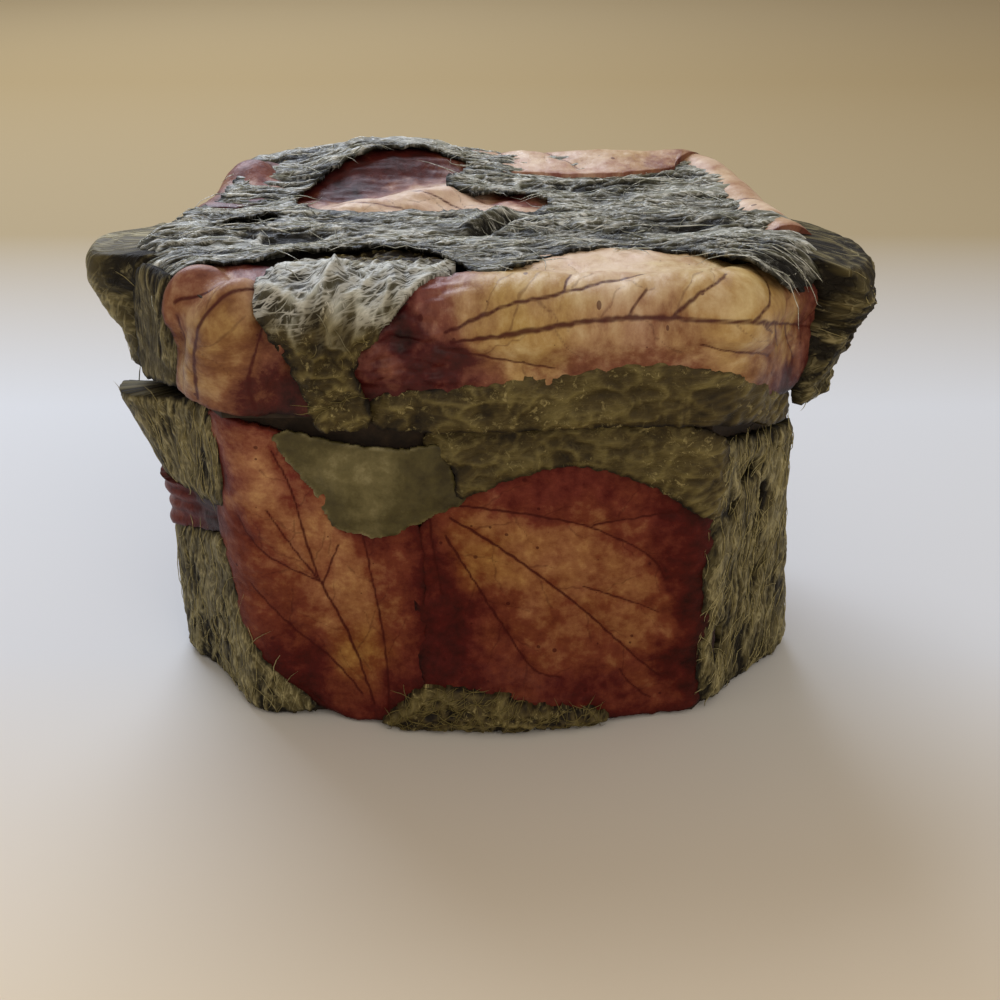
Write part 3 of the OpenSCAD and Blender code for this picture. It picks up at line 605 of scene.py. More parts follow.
def bast(low, high, grain, cover, long, wide, stray, cross, pits, seed):
    """Fibres strewn along a grain over a rectangle: level and tone of the topmost one on a fine raster."""
    pick = np.random.default_rng(seed)
    cells = np.ceil((high - low) / RASTER).astype(int) + 2
    count = int(cover * cells.prod() * RASTER ** 2 / (2 * wide * long))
    heading = math.radians(grain) + math.radians(stray) * pick.standard_normal(count)
    heading = np.where(pick.random(count) < cross, pick.uniform(0, math.pi, count), heading)
    spots = low + pick.random((count, 2)) * (high - low)
    spots -= 0.5 * long * np.stack([np.cos(heading), np.sin(heading)], 1)
    half = wide * pick.uniform(0.5, 1.3, count)
    depth, tint = pick.random(count), pick.random(count)
    levels, tints, places = [], [], []
    steps = int(long / RASTER)
    for step in range(steps):
        way = heading + 0.5 * noise(spots[:, 0] / 6, spots[:, 1] / 6, seed)
        ahead = np.stack([np.cos(way), np.sin(way)], 1)
        spots = spots + RASTER * ahead
        width = half * (1 - abs(2 * step / steps - 1) ** 3)
        for off in np.arange(-1.3 * wide, 1.3 * wide + RASTER / 2, 0.8 * RASTER):
            cell = ((spots + off * ahead[:, ::-1] * [-1, 1] - low) / RASTER).round().astype(int)
            kept = (np.abs(off) < width) & (cell >= 0).all(1) & (cell < cells).all(1)
            round_top = np.sqrt(1 - (off / width[kept]) ** 2)
            levels.append(0.7 * depth[kept] + 0.3 * round_top)
            tints.append(tint[kept])
            places.append(cell[kept, 0] * cells[1] + cell[kept, 1])
    levels, tints, places = (np.concatenate(each) for each in (levels, tints, places))
    order = np.argsort(levels, kind="stable")
    raster = np.full((2, cells.prod()), [[0.45 - 0.8 * pits], [0.4 - 0.4 * pits]])
    raster[0, places[order]] = levels[order]
    raster[1, places[order]] = tints[order]
    raster = raster.reshape(2, *cells)
    for axis in (1, 2):
        raster = 0.5 * raster + 0.25 * np.roll(raster, 1, axis) + 0.25 * np.roll(raster, -1, axis)
    return raster


def creases(u, v, seed):
    """Sharp crests of crumpled skin in two sizes, from about 0 in the hollows to 1 on the crests."""
    astray = u + 0.9 * noise(u / 2.5, v / 2.5, seed + 31)
    large = 1 - np.minimum(1.3 * np.abs(noise(astray / 4.2, v / 3.4, seed + 32)), 1)
    small = 1 - np.minimum(1.3 * np.abs(noise(astray / 1.5, v / 1.3, seed + 33)), 1)
    return 0.65 * large + 0.35 * small


def bark(grain, seed, lift=1.8, relief=0.5, cover=2.4, long=9.0, wide=0.24, stray=9, cross=0.04,
         plates=0.0, pits=1.0, lump=0.35, lip=0.0, thin=0.0, swell=None, shade=0.0, painted_light_and_shade=None,
         edge=0.45, crease=0.0, silver=None):
    """Surface of a bark sheet with fibres along grain, in degrees.
    Plates above 0 give it smooth parts, crease folds it sharply and paints shade in the fold hollows and
    highlight on their crests, lip raises its torn edge, and the torn edges are darkened as painted shade.
    An added tone function paints light and shade on parts of it, and the last argument says where the
    light from behind is painted on it as a lit grey with glints."""
    turn = math.radians(grain)

    def surface(flat, depth):
        u, v = flat.T
        low = flat.min(0) - 1
        raster = bast(low, flat.max(0) + 1, grain, cover, long, wide, stray, cross, pits, seed)
        cell = (flat - low) / RASTER
        base = np.floor(cell).astype(int)
        fx, fy = (cell - base).T
        col, row = base.T
        near = raster[:, col, row] * (1 - fx) * (1 - fy) + raster[:, col + 1, row] * fx * (1 - fy)
        level, tint = near + raster[:, col, row + 1] * (1 - fx) * fy + raster[:, col + 1, row + 1] * fx * fy
        along = u * math.cos(turn) + v * math.sin(turn)
        across = v * math.cos(turn) - u * math.sin(turn)
        plate = noise(along / 9, across / 6, seed + 5) + 0.25 * noise(u / 2, v / 2, seed + 7)
        smooth = plates * ease(-0.15, 0.25, plate)
        level = level * (1 - smooth) + 0.6 * smooth
        tint = tint * (1 - smooth) + 0.45 * smooth
        body = crumple(along / 9, across / 6, seed + 6)
        folds = creases(along, across, seed) - 0.68
        height = lift + relief * level + lump * body + lip * np.exp(-depth / 1.4) + 1.6 * crease * folds
        # Painted shade and highlight: the crease term darkens the fold hollows and pales their crests, and
        # the next line darkens the torn edges as painted shade.
        tone = 0.05 + shade + crease * (2.2 * np.maximum(folds, 0) + 0.5 * folds)
        tone = tone - 0.35 * np.exp(-(depth / 0.3) ** 2)
        # Painted light and shade given per piece are added to the tone here.
        if painted_light_and_shade:
            tone = tone + painted_light_and_shade(u, v)
        if swell:
            height = height + swell(u, v)
        height = height * (edge + (1 - edge) * ease(0, 1.3, depth))
        hung = np.maximum(height - thin, 0.05) if thin else np.full(len(flat), 0.05)
        wavy = across + noise(along / 9, across / 5, seed)
        return {
            "lift": np.maximum(height, 0.35),
            "base": np.where(depth < 3.5, hung, 0.05),
            "crest": np.clip(tone + 0.45 * level + 0.4 * tint + 0.1 * body, 0, 1.2),
            "silver": silver(u, v) if silver else np.zeros(len(flat)),
            "lie": np.stack([along, wavy, np.full(len(flat), 5.3 * seed)], 1),
        }

    return surface


def dried_bark(name, deep, body, crest, straw, gloss, fibre, crust):
    """Dried bast bark: dark between its fibres, partly its own colour and partly painted shade in the gaps,
    and pale where they rise, with fine pale threads that cross at a low angle, pale flaking crusts that
    also serve as painted glints, and a slight varnish shine on the crests.
    Where the mesh gives painted light from behind it turns a lit cool grey with near-white threads as
    painted glints."""
    material, tree = start_material(name)
    lie = read(tree, "lie", "Vector")
    raised = read(tree, "crest")
    silver = read(tree, "silver")
    stain = cloud(tree, lie, 5, 6, 0.7)
    threads = []
    for turn, long, wide in ((0.12, FIBRE_LONG, FIBRE_WIDE), (-0.3, 0.6 * FIBRE_LONG, 1.4 * FIBRE_WIDE)):
        turned = add_node(tree, "ShaderNodeMapping", inputs={
            "Vector": lie, "Rotation": (0, 0, turn)}).outputs["Vector"]
        drawn = add_node(tree, "ShaderNodeMapping", inputs={
            "Vector": turned, "Scale": (1 / long, 1 / wide, 1)}).outputs["Vector"]
        middle = maths(tree, "SUBTRACT", cloud(tree, drawn, 1, 3, 0.55, 0.4), 0.5)
        threads.append(remap(tree, maths(tree, "ABSOLUTE", middle), 0.005, 0.05, 1, 0, soft=True))
    thread = maths(tree, "MAXIMUM", *threads)
    level = maths(tree, "ADD", raised, remap(tree, stain, 0.3, 0.7, -0.28, 0.22))
    fresh = ramp(tree, level, [(0.02, deep), (0.45, body), (1.0, crest)])
    # Painted light: a lit cool grey copy of the bark, used where light from behind is painted on.
    painted_lit_grey = ramp(tree, level, [(0.15, "#110d06"), (0.55, "#4f4c3a"), (1.0, "#b9bcb2")])
    shown = remap(tree, level, 0.15, 0.85, 0, 0.8 * fibre)
    # Where light is painted on, more threads show, and they turn near-white as painted glints.
    strung = maths(tree, "MAXIMUM", shown, maths(tree, "MULTIPLY", silver, 0.6))
    pale = maths(tree, "MULTIPLY", thread, strung)
    flaked = remap(tree, cloud(tree, lie, 0.9, 7, 0.78, 0.8), 0.54, 0.62, 0, crust, soft=True)
    spread = remap(tree, stain, 0.42, 0.6, 0.1, 1, soft=True)
    crusted = maths(tree, "MULTIPLY", flaked, spread)
    thread_tint_and_glint = blend(tree, silver, linear(straw), linear("#dfe1da"))
    skin = blend(tree, silver, fresh, painted_lit_grey)
    colour = blend(tree, maths(tree, "MAXIMUM", pale, crusted), skin, thread_tint_and_glint)
    rough = remap(tree, raised, 0, 1, gloss + 0.25, gloss)
    grit = maths(tree, "ADD", cloud(tree, lie, 0.5, 4, 0.75), crusted)
    uneven = bumps(tree, grit, 0.5, 0.2)
    coat(tree, colour, rough, bumps(tree, thread, 0.2 + 0.6 * fibre, 0.2, uneven), 0.25)
    return material


# Its pale crusts are partly real flakes and partly painted glints.
olive_bark = dried_bark("dried_olive_bark", "#171007", "#44391a", "#6f6438", "#a89b69", 0.45, 0.15, 0.9)
dress(sheet("front_rim_bark", [
    (-6, 39.2), (-3, 39.9), (3, 39.9), (9.5, 40.6), (20.7, 40.9), (24, 40.2), (28, 38.5), (29, 36),
    (29, 28), (27, 27.5), (24, 30), (19, 33.3), (12, 35.5), (5, 34), (-0.5, 31.2), (-2.5, 30.5),
    (-2.2, 33.5), (-2.9, 35.6), (-6, 36)],
    bark(8, 21, lift=1.9, relief=0.2, cover=1.2, cross=0.4, plates=1.0, pits=0.15, shade=0.02, crease=0.5,
         edge=0.85, swell=lambda s, z: -1.0 * ease(-2, -4.5, s)),
    on_body, SKIN_PITCH, tear=0.25, tear_size=1.2, seed=22), "box", olive_bark)
dress(sheet("front_foot_bark", [
    (-13, 0.4), (-10, 2.5), (-8, 5), (-5.5, 6.2), (-1.5, 5.5), (3, 5), (7, 3.6), (12, 3), (15.5, 2.5),
    (17, 0.4)],
    bark(18, 25, lift=2.6, relief=0.4, long=5, wide=0.18, stray=40, cross=0.3, crease=0.5, edge=0.7),
    on_body, TANGLE_PITCH, tear=0.4, tear_size=1.1, hairs=(110, 4, 40, 50), seed=25), "box",
    olive_bark)


# Left face: two sheets of bark with upright fibres, and a narrow pink leaf caught in the fold between them.
# The lower sheet is torn and laps round the corner onto the front.
PLAIN_LEAF_PITCH = 0.25


def band_ripple(s, z):
    """The narrow leaf stands off towards the corner and is finely pleated along its length."""
    return 0.9 * ease(-38, -46, s) + 0.13 * np.cos((z - 0.2 * (s + 40)) * 2 * math.pi / 2.1)


straw_bark = dried_bark("dried_straw_bark", "#151006", "#4c4426", "#8f8559", "#bdb386", 0.5, 0.8, 0.3)
dress(sheet("left_band_leaf", [
    (-50, 25.8), (-46.6, 26), (-38.4, 27), (-30.5, 27.8), (-29.5, 25), (-34.9, 22.5), (-41, 20.8),
    (-47.2, 18.6), (-50, 18.4)],
    leaf([
        (0.4, [(-30.5, 26.2), (-38, 24.6), (-49, 22.6)]), (0.3, [(-31, 26), (-38, 23.4), (-49, 20.8)]),
        (0.3, [(-31, 26.4), (-40, 25.8), (-49, 24.6)])
    ], [
        (-47, 22, 4, 0.45, 0.05), (-41, 23.5, 4, 0.55, 0.15), (-34, 25, 4, 1.0, 0.4)
    ], 0.5, 0.2, 31, lift=0.9, swell=band_ripple),
    on_body, PLAIN_LEAF_PITCH, tear=0.15, seed=31), "box", red_leaf)
dress(sheet("left_upper_bark", [
    (-50, 37.2), (-44.6, 38.7), (-36, 40.1), (-31, 41), (-30.2, 35), (-30.4, 29), (-30.2, 27.6),
    (-38.5, 26.6), (-46.6, 25.6), (-50, 25.4)],
    bark(86, 33, lift=1.6, relief=0.2, wide=0.17, stray=6, plates=0.7, crease=0.2, edge=0.75),
    on_body, UPRIGHT_PITCH, tear=0.3, hairs=(40, 7, 86, 12), seed=33), "box", straw_bark)
dress(sheet("left_lower_bark", [
    (-50, 19.0), (-41, 20.8), (-35, 22.4), (-30.8, 24), (-30.5, 20), (-28.9, 16), (-28.1, 12.5),
    (-27.1, 10.2), (-24.8, 6.6), (-21.8, 3.4), (-18.5, 0.4), (-50, 0.4)],
    bark(84, 37, lift=1.5, relief=0.25, wide=0.18, stray=9, plates=0.4, crease=0.2, edge=0.75),
    on_body, UPRIGHT_PITCH, tear=0.3, hairs=(80, 7, 84, 16), seed=37), "box", straw_bark)


# Right face: one coarse sheet of bark whose long upright fibres part into torn holes.
# It is the loosest sheet, so its edge on the front stands proud of the leaf beside it.
RIGHT_HOLES = [
    (34.6, 30.8, 4.4, 2.2), (31, 27.6, 2.2, 2), (39, 26, 1.8, 4), (29.8, 9.4, 1.9, 4.6), (38.5, 15, 1.6, 3)]
HOLE_SIDES = 9


def torn_hole(u, v, wide, tall, seed):
    """Ring of an uneven oval hole."""
    pick = random.Random(seed)
    ring = []
    for k in range(HOLE_SIDES):
        turn = 2 * math.pi * k / HOLE_SIDES
        ring.append((u + wide / 2 * math.cos(turn) * pick.uniform(0.8, 1.3),
                     v + tall / 2 * math.sin(turn) * pick.uniform(0.8, 1.3)))
    return ring


dress(sheet("right_bark", [
    (27.4, 37.9), (31, 36.5), (35.5, 35.2), (41, 34.2), (46.5, 33), (49, 32.4), (49.2, 20), (49, 0.4),
    (28.5, 0.4), (27.2, 3), (26.6, 8), (27.4, 14), (26.7, 20), (27.5, 26), (26.8, 32)],
    bark(82, 41, lift=1.6, relief=0.26, long=11, wide=0.16, stray=14, cross=0.06, plates=0.4, thin=1.3,
         crease=0.16, edge=0.75),
    on_body, UPRIGHT_PITCH, tear=0.45, tear_size=1.3, hairs=(160, 7, 82, 24),
    holes=[torn_hole(*hole, 43 + k) for k, hole in enumerate(RIGHT_HOLES)], seed=41), "box",
    straw_bark)


# Rear faces of the box: a pink leaf past the right corner, a broad red leaf across the back and a small one
# on the rear left face, each set in a window or a gap of the same torn bark.
dress(sheet("back_right_leaf", [
    (45.5, 32.6), (53, 33.6), (60.5, 33), (64.5, 25), (64, 15), (59, 7), (50.5, 4), (45.5, 4)],
    leaf([
        (0.5, [(47, 18), (54, 21), (61, 24)]), (0.4, [(47, 18), (53, 26), (57, 31)]),
        (0.4, [(47, 18), (53, 14), (59, 10)]), (0.3, [(47, 18.5), (48.5, 26), (50, 32)])
    ], [
        (48, 26, 5, 0.45, 0), (55, 20, 5, 0.35, 0.4), (60, 26, 4, 0.6, 0.1), (58, 11, 4, 0.72, 0.1)
    ], 0.5, 0.2, 51),
    on_body, PLAIN_LEAF_PITCH, tear=0.15, seed=51), "box", red_leaf)
dress(sheet("back_right_bark", [
    (53.5, 34.2), (60, 34.9), (70, 36.2), (79.5, 37.1), (80, 20), (79.5, 0.4), (47.5, 0.4), (47.8, 4.5),
    (51, 4.8), (58.5, 8), (62.6, 15), (63.2, 25), (60.2, 31.6)],
    bark(76, 53, lift=1.6, relief=0.3, wide=0.2, stray=12, plates=0.5, crease=0.2, edge=0.75),
    on_body, UPRIGHT_PITCH, tear=0.4, seed=53), "box", olive_bark)
dress(sheet("back_leaf", [
    (76, 22), (88, 25.5), (97.5, 29.4), (110, 28.6), (121, 25.6), (128.6, 28), (139, 29), (139, 13),
    (129, 9.3), (119, 6.4), (107, 8.6), (95.5, 5), (76, 8)],
    leaf([
        (0.6, [(84, 13), (97, 18), (112, 20), (128, 22), (137, 23)]),
        (0.45, [(84, 13.4), (93, 21), (98, 28)]), (0.45, [(86, 13.6), (100, 22), (112, 26.6)]),
        (0.4, [(86, 13), (104, 14.5), (122, 13)]), (0.36, [(85, 12.4), (94, 9.6), (100, 8)])
    ], [
        (88, 15, 6, 0.36, 0.9), (100, 20, 6, 0.34, 0.6), (112, 23, 6, 0.5, 0.2), (118, 12, 6, 0.75, 0.05),
        (130, 20, 6, 0.42, 0.4), (97, 9, 5, 0.66, 0.1), (80, 18, 4, 0.7, 0.05), (137, 24, 4, 0.8, 0.05)
    ], 0.5, 0.3, 55),
    on_body, LEAF_PITCH * 1.2, tear=0.2, seed=55), "box", red_leaf)
dress(sheet("back_upper_bark", [
    (77, 37.1), (107, 37.1), (137.5, 37.1), (138, 28.4), (128, 27.4), (121, 25.1), (110, 28.1), (97, 28.9),
    (87.5, 25.2), (77, 22)],
    bark(4, 57, lift=1.6, relief=0.3, wide=0.2, stray=12, plates=0.5, crease=0.2, edge=0.75),
    on_body, LYING_PITCH, tear=0.4, seed=57), "box", straw_bark)
dress(sheet("back_lower_bark", [
    (77, 8), (95.5, 5.4), (107, 9), (119, 6.8), (129.6, 9.8), (138, 14), (138, 0.4), (77, 0.4)],
    bark(-3, 59, lift=1.6, relief=0.35, wide=0.2, stray=20, cross=0.1, crease=0.3, edge=0.75),
    on_body, LYING_PITCH, tear=0.4, seed=59), "box", olive_bark)
REAR_WINDOW = [
    (142.5, 11), (141.2, 20.7), (145.6, 28.9), (152.6, 31), (159.5, 26.6), (162, 17.8), (158.2, 9.6),
    (150, 6.7)]
dress(sheet("back_left_leaf", [
    (140.5, 9), (139, 20.7), (144, 31), (152.6, 33), (161, 28), (164, 17.8), (160, 8), (150, 4.7)],
    leaf([
        (0.5, [(146, 11), (150, 19), (154, 29)]), (0.4, [(146, 11), (154, 17), (160, 23)]),
        (0.4, [(146, 11), (153, 11.6), (160, 12)]), (0.4, [(146, 11.4), (145.6, 19), (147, 27)])
    ], [
        (148, 14, 4, 0.36, 0.8), (153, 22, 5, 0.4, 0.4), (158, 16, 4, 0.6, 0.1), (144, 24, 4, 0.75, 0.05)
    ], 0.5, 0.25, 63),
    on_body, PLAIN_LEAF_PITCH, tear=0.15, seed=63), "box", red_leaf)
dress(sheet("back_left_bark", [
    (135.5, 37.1), (152, 37.1), (166.5, 37.1), (167, 20), (166.5, 0.4), (135.5, 0.4), (136, 18)],
    bark(80, 65, lift=1.7, relief=0.3, wide=0.2, stray=12, plates=0.5, crease=0.2, edge=0.75),
    on_body, UPRIGHT_PITCH, tear=0.4, holes=[REAR_WINDOW], seed=65), "box", olive_bark)


# Two pale leaves on the lid, one over its left front corner and one across its front: soft leaves, puffed
# up between their veins, folded over the lid's edge and glued down.
# Here q runs up the side, round the edge and over the top.
LID_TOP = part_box("lid_board")[1].z / MM
RIM_OUT = (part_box("front_wall")[0].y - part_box("lid_front_rim")[0].y) / MM
ROLL = 3.5
ROLL_START = LID_TOP - ROLL
ROLL_LONG = ROLL * math.pi / 2


def droop(spots):
    """Lowers the lid's cladding towards its left and right ends and lifts it at the back."""
    low = 0.8 * ease(-33, -45, spots[:, 0]) + 2.0 * ease(36, 48, spots[:, 0])
    rise = 1.7 * ease(4, 24, spots[:, 1])
    spots[:, 2] += (rise - low) * np.clip((spots[:, 2] - 44) / 11, 0, 1)
    return spots


def over_lid(s, q, lift):
    """Lays a sheet up the lid's side, round its edge and on across the top."""
    turn = np.clip((q - ROLL_START) / ROLL, 0, math.pi / 2)
    over = np.maximum(q - ROLL_START - ROLL_LONG, 0)
    out = RIM_OUT - ROLL * (1 - np.cos(turn)) + lift * np.cos(turn)
    up = np.minimum(q, ROLL_START) + ROLL * np.sin(turn) + lift * np.sin(turn)
    spots = on_side(s, up, out)
    inner = on_side(s, up, out - 1)
    ahead = np.abs((s + girth / 2) % girth - girth / 2) < 46
    spots[:, 0] += np.where(ahead, 0, (inner - spots)[:, 0]) * over
    spots[:, 1] += np.where(ahead, 1, (inner - spots)[:, 1]) * over
    return droop(spots)


pale_leaf = varnished_leaf(
    "varnished_pale_leaf",
    [(0.05, "#d8bfa9"), (0.3, "#b08a78"), (0.5, "#7f4941"), (0.72, "#4c171a"), (0.98, "#22090c")],
    [(0.05, "#d6c28d"), (0.3, "#b39456"), (0.5, "#876234"), (0.72, "#522414"), (0.98, "#240e08")],
    "#420b09", 0.22)


def corner_folds(s, q):
    """Soft folds of the corner leaf, gathered towards the top."""
    fold = np.cos((s + 27.5 - 0.35 * (q - 50)) * 2 * math.pi / 6.2)
    ends = 1.5 * ease(-25, -21.5, s) - 0.5 * np.exp(-((s + 31) / 1.8) ** 2 - ((q - 53) / 3) ** 2)
    return (0.9 + 0.75 * fold * ease(43, 50, q) - ends) * ease(59, 54.5, q) - 0.3 * ease(55, 58, q)


def front_pillow(s, q):
    """Puffed front of the large lid leaf, flat at its ends and hollow by its root."""
    high = np.exp(-((q - 53.5) / 4.4) ** 2)
    wide = ease(-6, 8, s) * ease(42, 28, s)
    root = np.exp(-((s + 8) / 2.2) ** 2 - ((q - 51.5) / 2.6) ** 2)
    gather = 0.7 * crumple(s / 5, q / 1.8, 75) * ease(2, -6, s) * ease(45, 47.5, q)
    tuck = 0.3 * ease(56, 60, q) + 0.9 * ease(51.5, 55, q) * ease(27, 35, s)
    tuck = tuck + 0.6 * ease(47, 45.5, q) * ease(4, -3, s)
    return 0.3 + 1.6 * high * wide + gather - 1.4 * root - tuck


dress(sheet("lid_corner_leaf", [
    (-32.6, 43.6), (-31.8, 49), (-32.4, 53), (-33.2, 56), (-32.5, 59), (-30, 62), (-25, 63.5), (-20.5, 61),
    (-18, 57.5), (-19, 53.5), (-16.5, 48.5), (-14.5, 43.5), (-16.5, 41.9), (-21.3, 42.2), (-27.8, 43),
    (-31, 43.3)],
    leaf([
        (0.34, [(-30.9, 53), (-28.2, 54.8), (-22.7, 60)]),
        (0.5, [(-28.6, 43.6), (-27.9, 51.2), (-26.5, 53.9), (-23.3, 55.9)]),
        (0.3, [(-30.7, 52.2), (-30.6, 49), (-29.8, 45.4)]),
        (0.3, [(-24, 43.2), (-24.6, 47), (-23, 52), (-21, 56)])
    ], [
        # The pale patch at (-22.9, 56) is a painted sheen.
        (-30.3, 54.8, 3.5, 0.38, 0.1), (-22.9, 56, 3, 0.08, 0.05), (-21.9, 48.9, 3.6, 0.68, 0.3),
        (-21.8, 43.6, 3.5, 0.9, 0.1), (-27.6, 50.5, 5, 0.42, 0.95), (-28, 44, 3, 0.34, 0.6),
        (-19.5, 53, 3, 0.4, 0.7), (-25, 60, 4, 0.55, 0)
    ], 0.4, 0.5, 71, lift=1.0, puff=0.4, swell=corner_folds),
    over_lid, LEAF_PITCH, tear=0.15, seed=71), "lid", pale_leaf)
dress(sheet("lid_front_leaf", [
    (-14.5, 48), (-14, 43.5), (-5, 43), (3, 43.8), (9.5, 45.3), (17.8, 46.6), (23.1, 46.6), (28.5, 44),
    (33, 42), (38.5, 40.6), (42, 42.6), (45.5, 47), (45.5, 51), (42, 54), (36, 57), (31, 61), (26, 67),
    (21, 69.5), (14.4, 71), (8, 67.5), (3, 60.5), (-1, 58.5), (-4, 58), (-9, 56.5), (-12.5, 53)],
    leaf([
        (0.36, [(-3.1, 52), (2.8, 53.8), (9.6, 54.5), (17.4, 56.1), (20, 58)]),
        (0.24, [(9.6, 54.6), (11.6, 60)]),
        (0.5, [(-2.5, 51.2), (7, 52.4), (15.5, 53.1), (26, 52.9), (33, 51), (40, 48.4), (45, 46.6)]),
        (0.24, [(21.3, 53.2), (27.8, 56.3)]), (0.2, [(16.6, 53.2), (18.5, 54.9)]),
        (0.24, [(28, 52.5), (33.2, 54.6)]), (0.4, [(-3.6, 50.4), (5, 48.8), (8.7, 48.2)]),
        (0.22, [(24.2, 51.2), (31.4, 47.5)]), (0.18, [(28.6, 52.2), (30.5, 50.6)]),
        (0.2, [(30.5, 51.6), (33.5, 48)]), (0.22, [(34.5, 50.4), (38.9, 44.7)])
    ], [
        # The pale patches at (14.3, 57.5) and (14, 64) are a painted highlight along the rolled top edge.
        (6, 52.4, 5.5, 0.22, 0.95), (26.5, 54.8, 6.5, 0.16, 0.9), (14.3, 57.5, 5, 0.02, 0.35),
        (14, 64, 6, 0.0, 0.15), (20.5, 49, 4.5, 0.56, 0.2), (31.4, 45.5, 4, 0.62, 0.6),
        (36, 42, 3, 0.92, 0.2), (-8, 45.5, 4, 0.82, 0.05), (-10, 49, 2, 0.5, 0.1),
        (-7.9, 51.8, 2, 1.1, 0.1), (0, 45.5, 4, 0.66, 0.1), (12, 47.5, 4, 0.56, 0.25),
        (34, 49.5, 4.5, 0.34, 0.85), (43.5, 47, 4, 0.62, 0.2), (-5, 55.5, 3.5, 0.5, 0),
        (-2.5, 49, 2, 0.95, 0.1), (40, 52, 3, 0.6, 0.1)
    ], 0.35, 0.5, 73, lift=0.9, puff=0.55, swell=front_pillow, twig_gap=5),
    over_lid, LEAF_PITCH, tear=0.15, seed=73), "lid", pale_leaf)


# Bark on the lid's front: a folded piece between the two leaves, painted a lit grey with glints where it
# turns onto the top, and a strip along the lower edge. Both are thicker than the leaves and lap over their
# edges.
def fold_ridges(s, q):
    """Three crisp pleats that run down the folded bark, which sinks under the sheet of the top."""
    first = np.exp(-np.abs(s + 17.5 - 0.25 * (q - 48)) / 1.5)
    second = np.exp(-np.abs(s + 13.6 + 0.25 * (q - 52)) / 1.2)
    third = np.exp(-np.abs(s + 8.5 + 0.3 * (q - 56)) / 1.3)
    pleats = 1.5 * (first + 0.9 * second + 0.8 * third) * ease(40, 46, q) * ease(62, 55, q)
    return pleats - 0.2 - 1.3 * ease(60.5, 65, q)


dress(sheet("lid_fold_bark", [
    (-23.8, 54), (-23.5, 57), (-22, 61.5), (-19, 66), (-14, 69), (-8, 69.5), (-3, 66), (-1.5, 59),
    (-6.5, 55), (-10.5, 51.5), (-13, 49.5), (-12.8, 46.5), (-11.5, 44), (-11, 41.3), (-15, 40.3),
    (-18, 41), (-17.8, 43.3), (-20, 48.5), (-22.5, 52)],
    # Painted light and shade: the fold is darkened throughout as painted shade, lightened on its upper part
    # as painted light, painted a lit grey with glints where it turns onto the top, and darkened as painted
    # shade where it sinks under the top sheet.
    bark(16, 77, lift=2.2, relief=0.25, cover=1.2, stray=25, cross=0.3, plates=0.8, pits=0.15, lump=0.3,
         edge=0.9, thin=1.2, shade=-0.1, crease=0.75, swell=fold_ridges,
         painted_light_and_shade=lambda s, q: 0.2 * ease(51, 56, q) - 0.6 * ease(60, 63, q),
         silver=lambda s, q: ease(51, 54.5, q + 1.5 * noise(s / 2, q / 2, 78)) * ease(62.5, 60, q)),
    over_lid, TANGLE_PITCH, tear=0.3, hairs=(40, 4, 16, 60), seed=77), "lid", olive_bark)
dress(sheet("lid_edge_bark", [
    (-12.2, 45), (-4.8, 45.4), (6.6, 47.4), (14, 49), (17.8, 49.8), (23.2, 49.6), (28.2, 46.2), (33, 44),
    (38, 41.5), (39.5, 38.5), (37.5, 36.8), (33, 38.3), (29.3, 40.3), (25, 41.2), (20.4, 41.3),
    (9.4, 40.8), (-1.6, 40.1), (-7, 40.4), (-11.6, 40.5)],
    bark(6, 79, lift=1.8, relief=0.2, cover=1.2, cross=0.4, plates=1.0, pits=0.15, edge=0.75, shade=0.02,
         crease=0.5, swell=lambda s, q: 0.8 * np.exp(-((s - 20) / 9) ** 2)),
    over_lid, SKIN_PITCH, tear=0.2, tear_size=1.2, seed=79), "lid", olive_bark)


# Bark on the lid's two side corners: a smooth patch on the left face, and torn lumps several layers thick.
# The left lump ends in a flake that curls out over a hollow darkened with painted shade, the right one is
# blocky and crumbled.
CRISP = 1.0


def over_corner(s, q, lift):
    """Lays a thick lump on a corner of the lid, standing out to the side, with a flat top."""
    turn = np.clip((q - LID_TOP + CRISP) / CRISP, 0, math.pi / 2)
    over = np.maximum(q - LID_TOP + CRISP - CRISP * math.pi / 2, 0)
    out = RIM_OUT + lift - CRISP * (1 - np.cos(turn)) - 1.5 * over
    up = np.minimum(q, LID_TOP - CRISP) + (CRISP + np.minimum(lift, 1.2)) * np.sin(turn)
    return droop(on_side(s, up, out))


dress(sheet("lid_left_bark", [
    (-44.5, 40.6), (-38, 42), (-31.8, 43.2), (-31.4, 47), (-31.4, 51), (-32, 54.5), (-36, 55.4),
    (-42.5, 55.4), (-43.5, 48)],
    bark(84, 83, lift=1.9, relief=0.15, wide=0.17, stray=6, plates=0.8, lump=0.2, edge=0.95, shade=-0.12,
         crease=0.2, swell=lambda s, q: -0.9 * ease(-36, -32.5, s)),
    over_corner, UPRIGHT_PITCH, tear=0.25, seed=83), "lid", straw_bark)


def left_flake(s, q):
    """The flake stands out at the top of the left corner, with a hollow beside it."""
    flake = np.exp(-((s + 48.5) / 3.6) ** 4) * (0.6 + 3.6 * ease(42, 53, q))
    hollow = np.exp(-((s + 44) / 1.5) ** 2) * ease(53.5, 50, q) * ease(41, 45, q)
    return flake - 2.4 * hollow


def right_block(s, q):
    """Crumbled steps of the right lump."""
    step = np.floor(2.5 * crumple(s / 6, q / 5, 91)) / 2.5
    return (0.6 + 5.0 * ease(37, 51, q) + 0.8 * step) * np.exp(-((s - 48) / 6.5) ** 4)


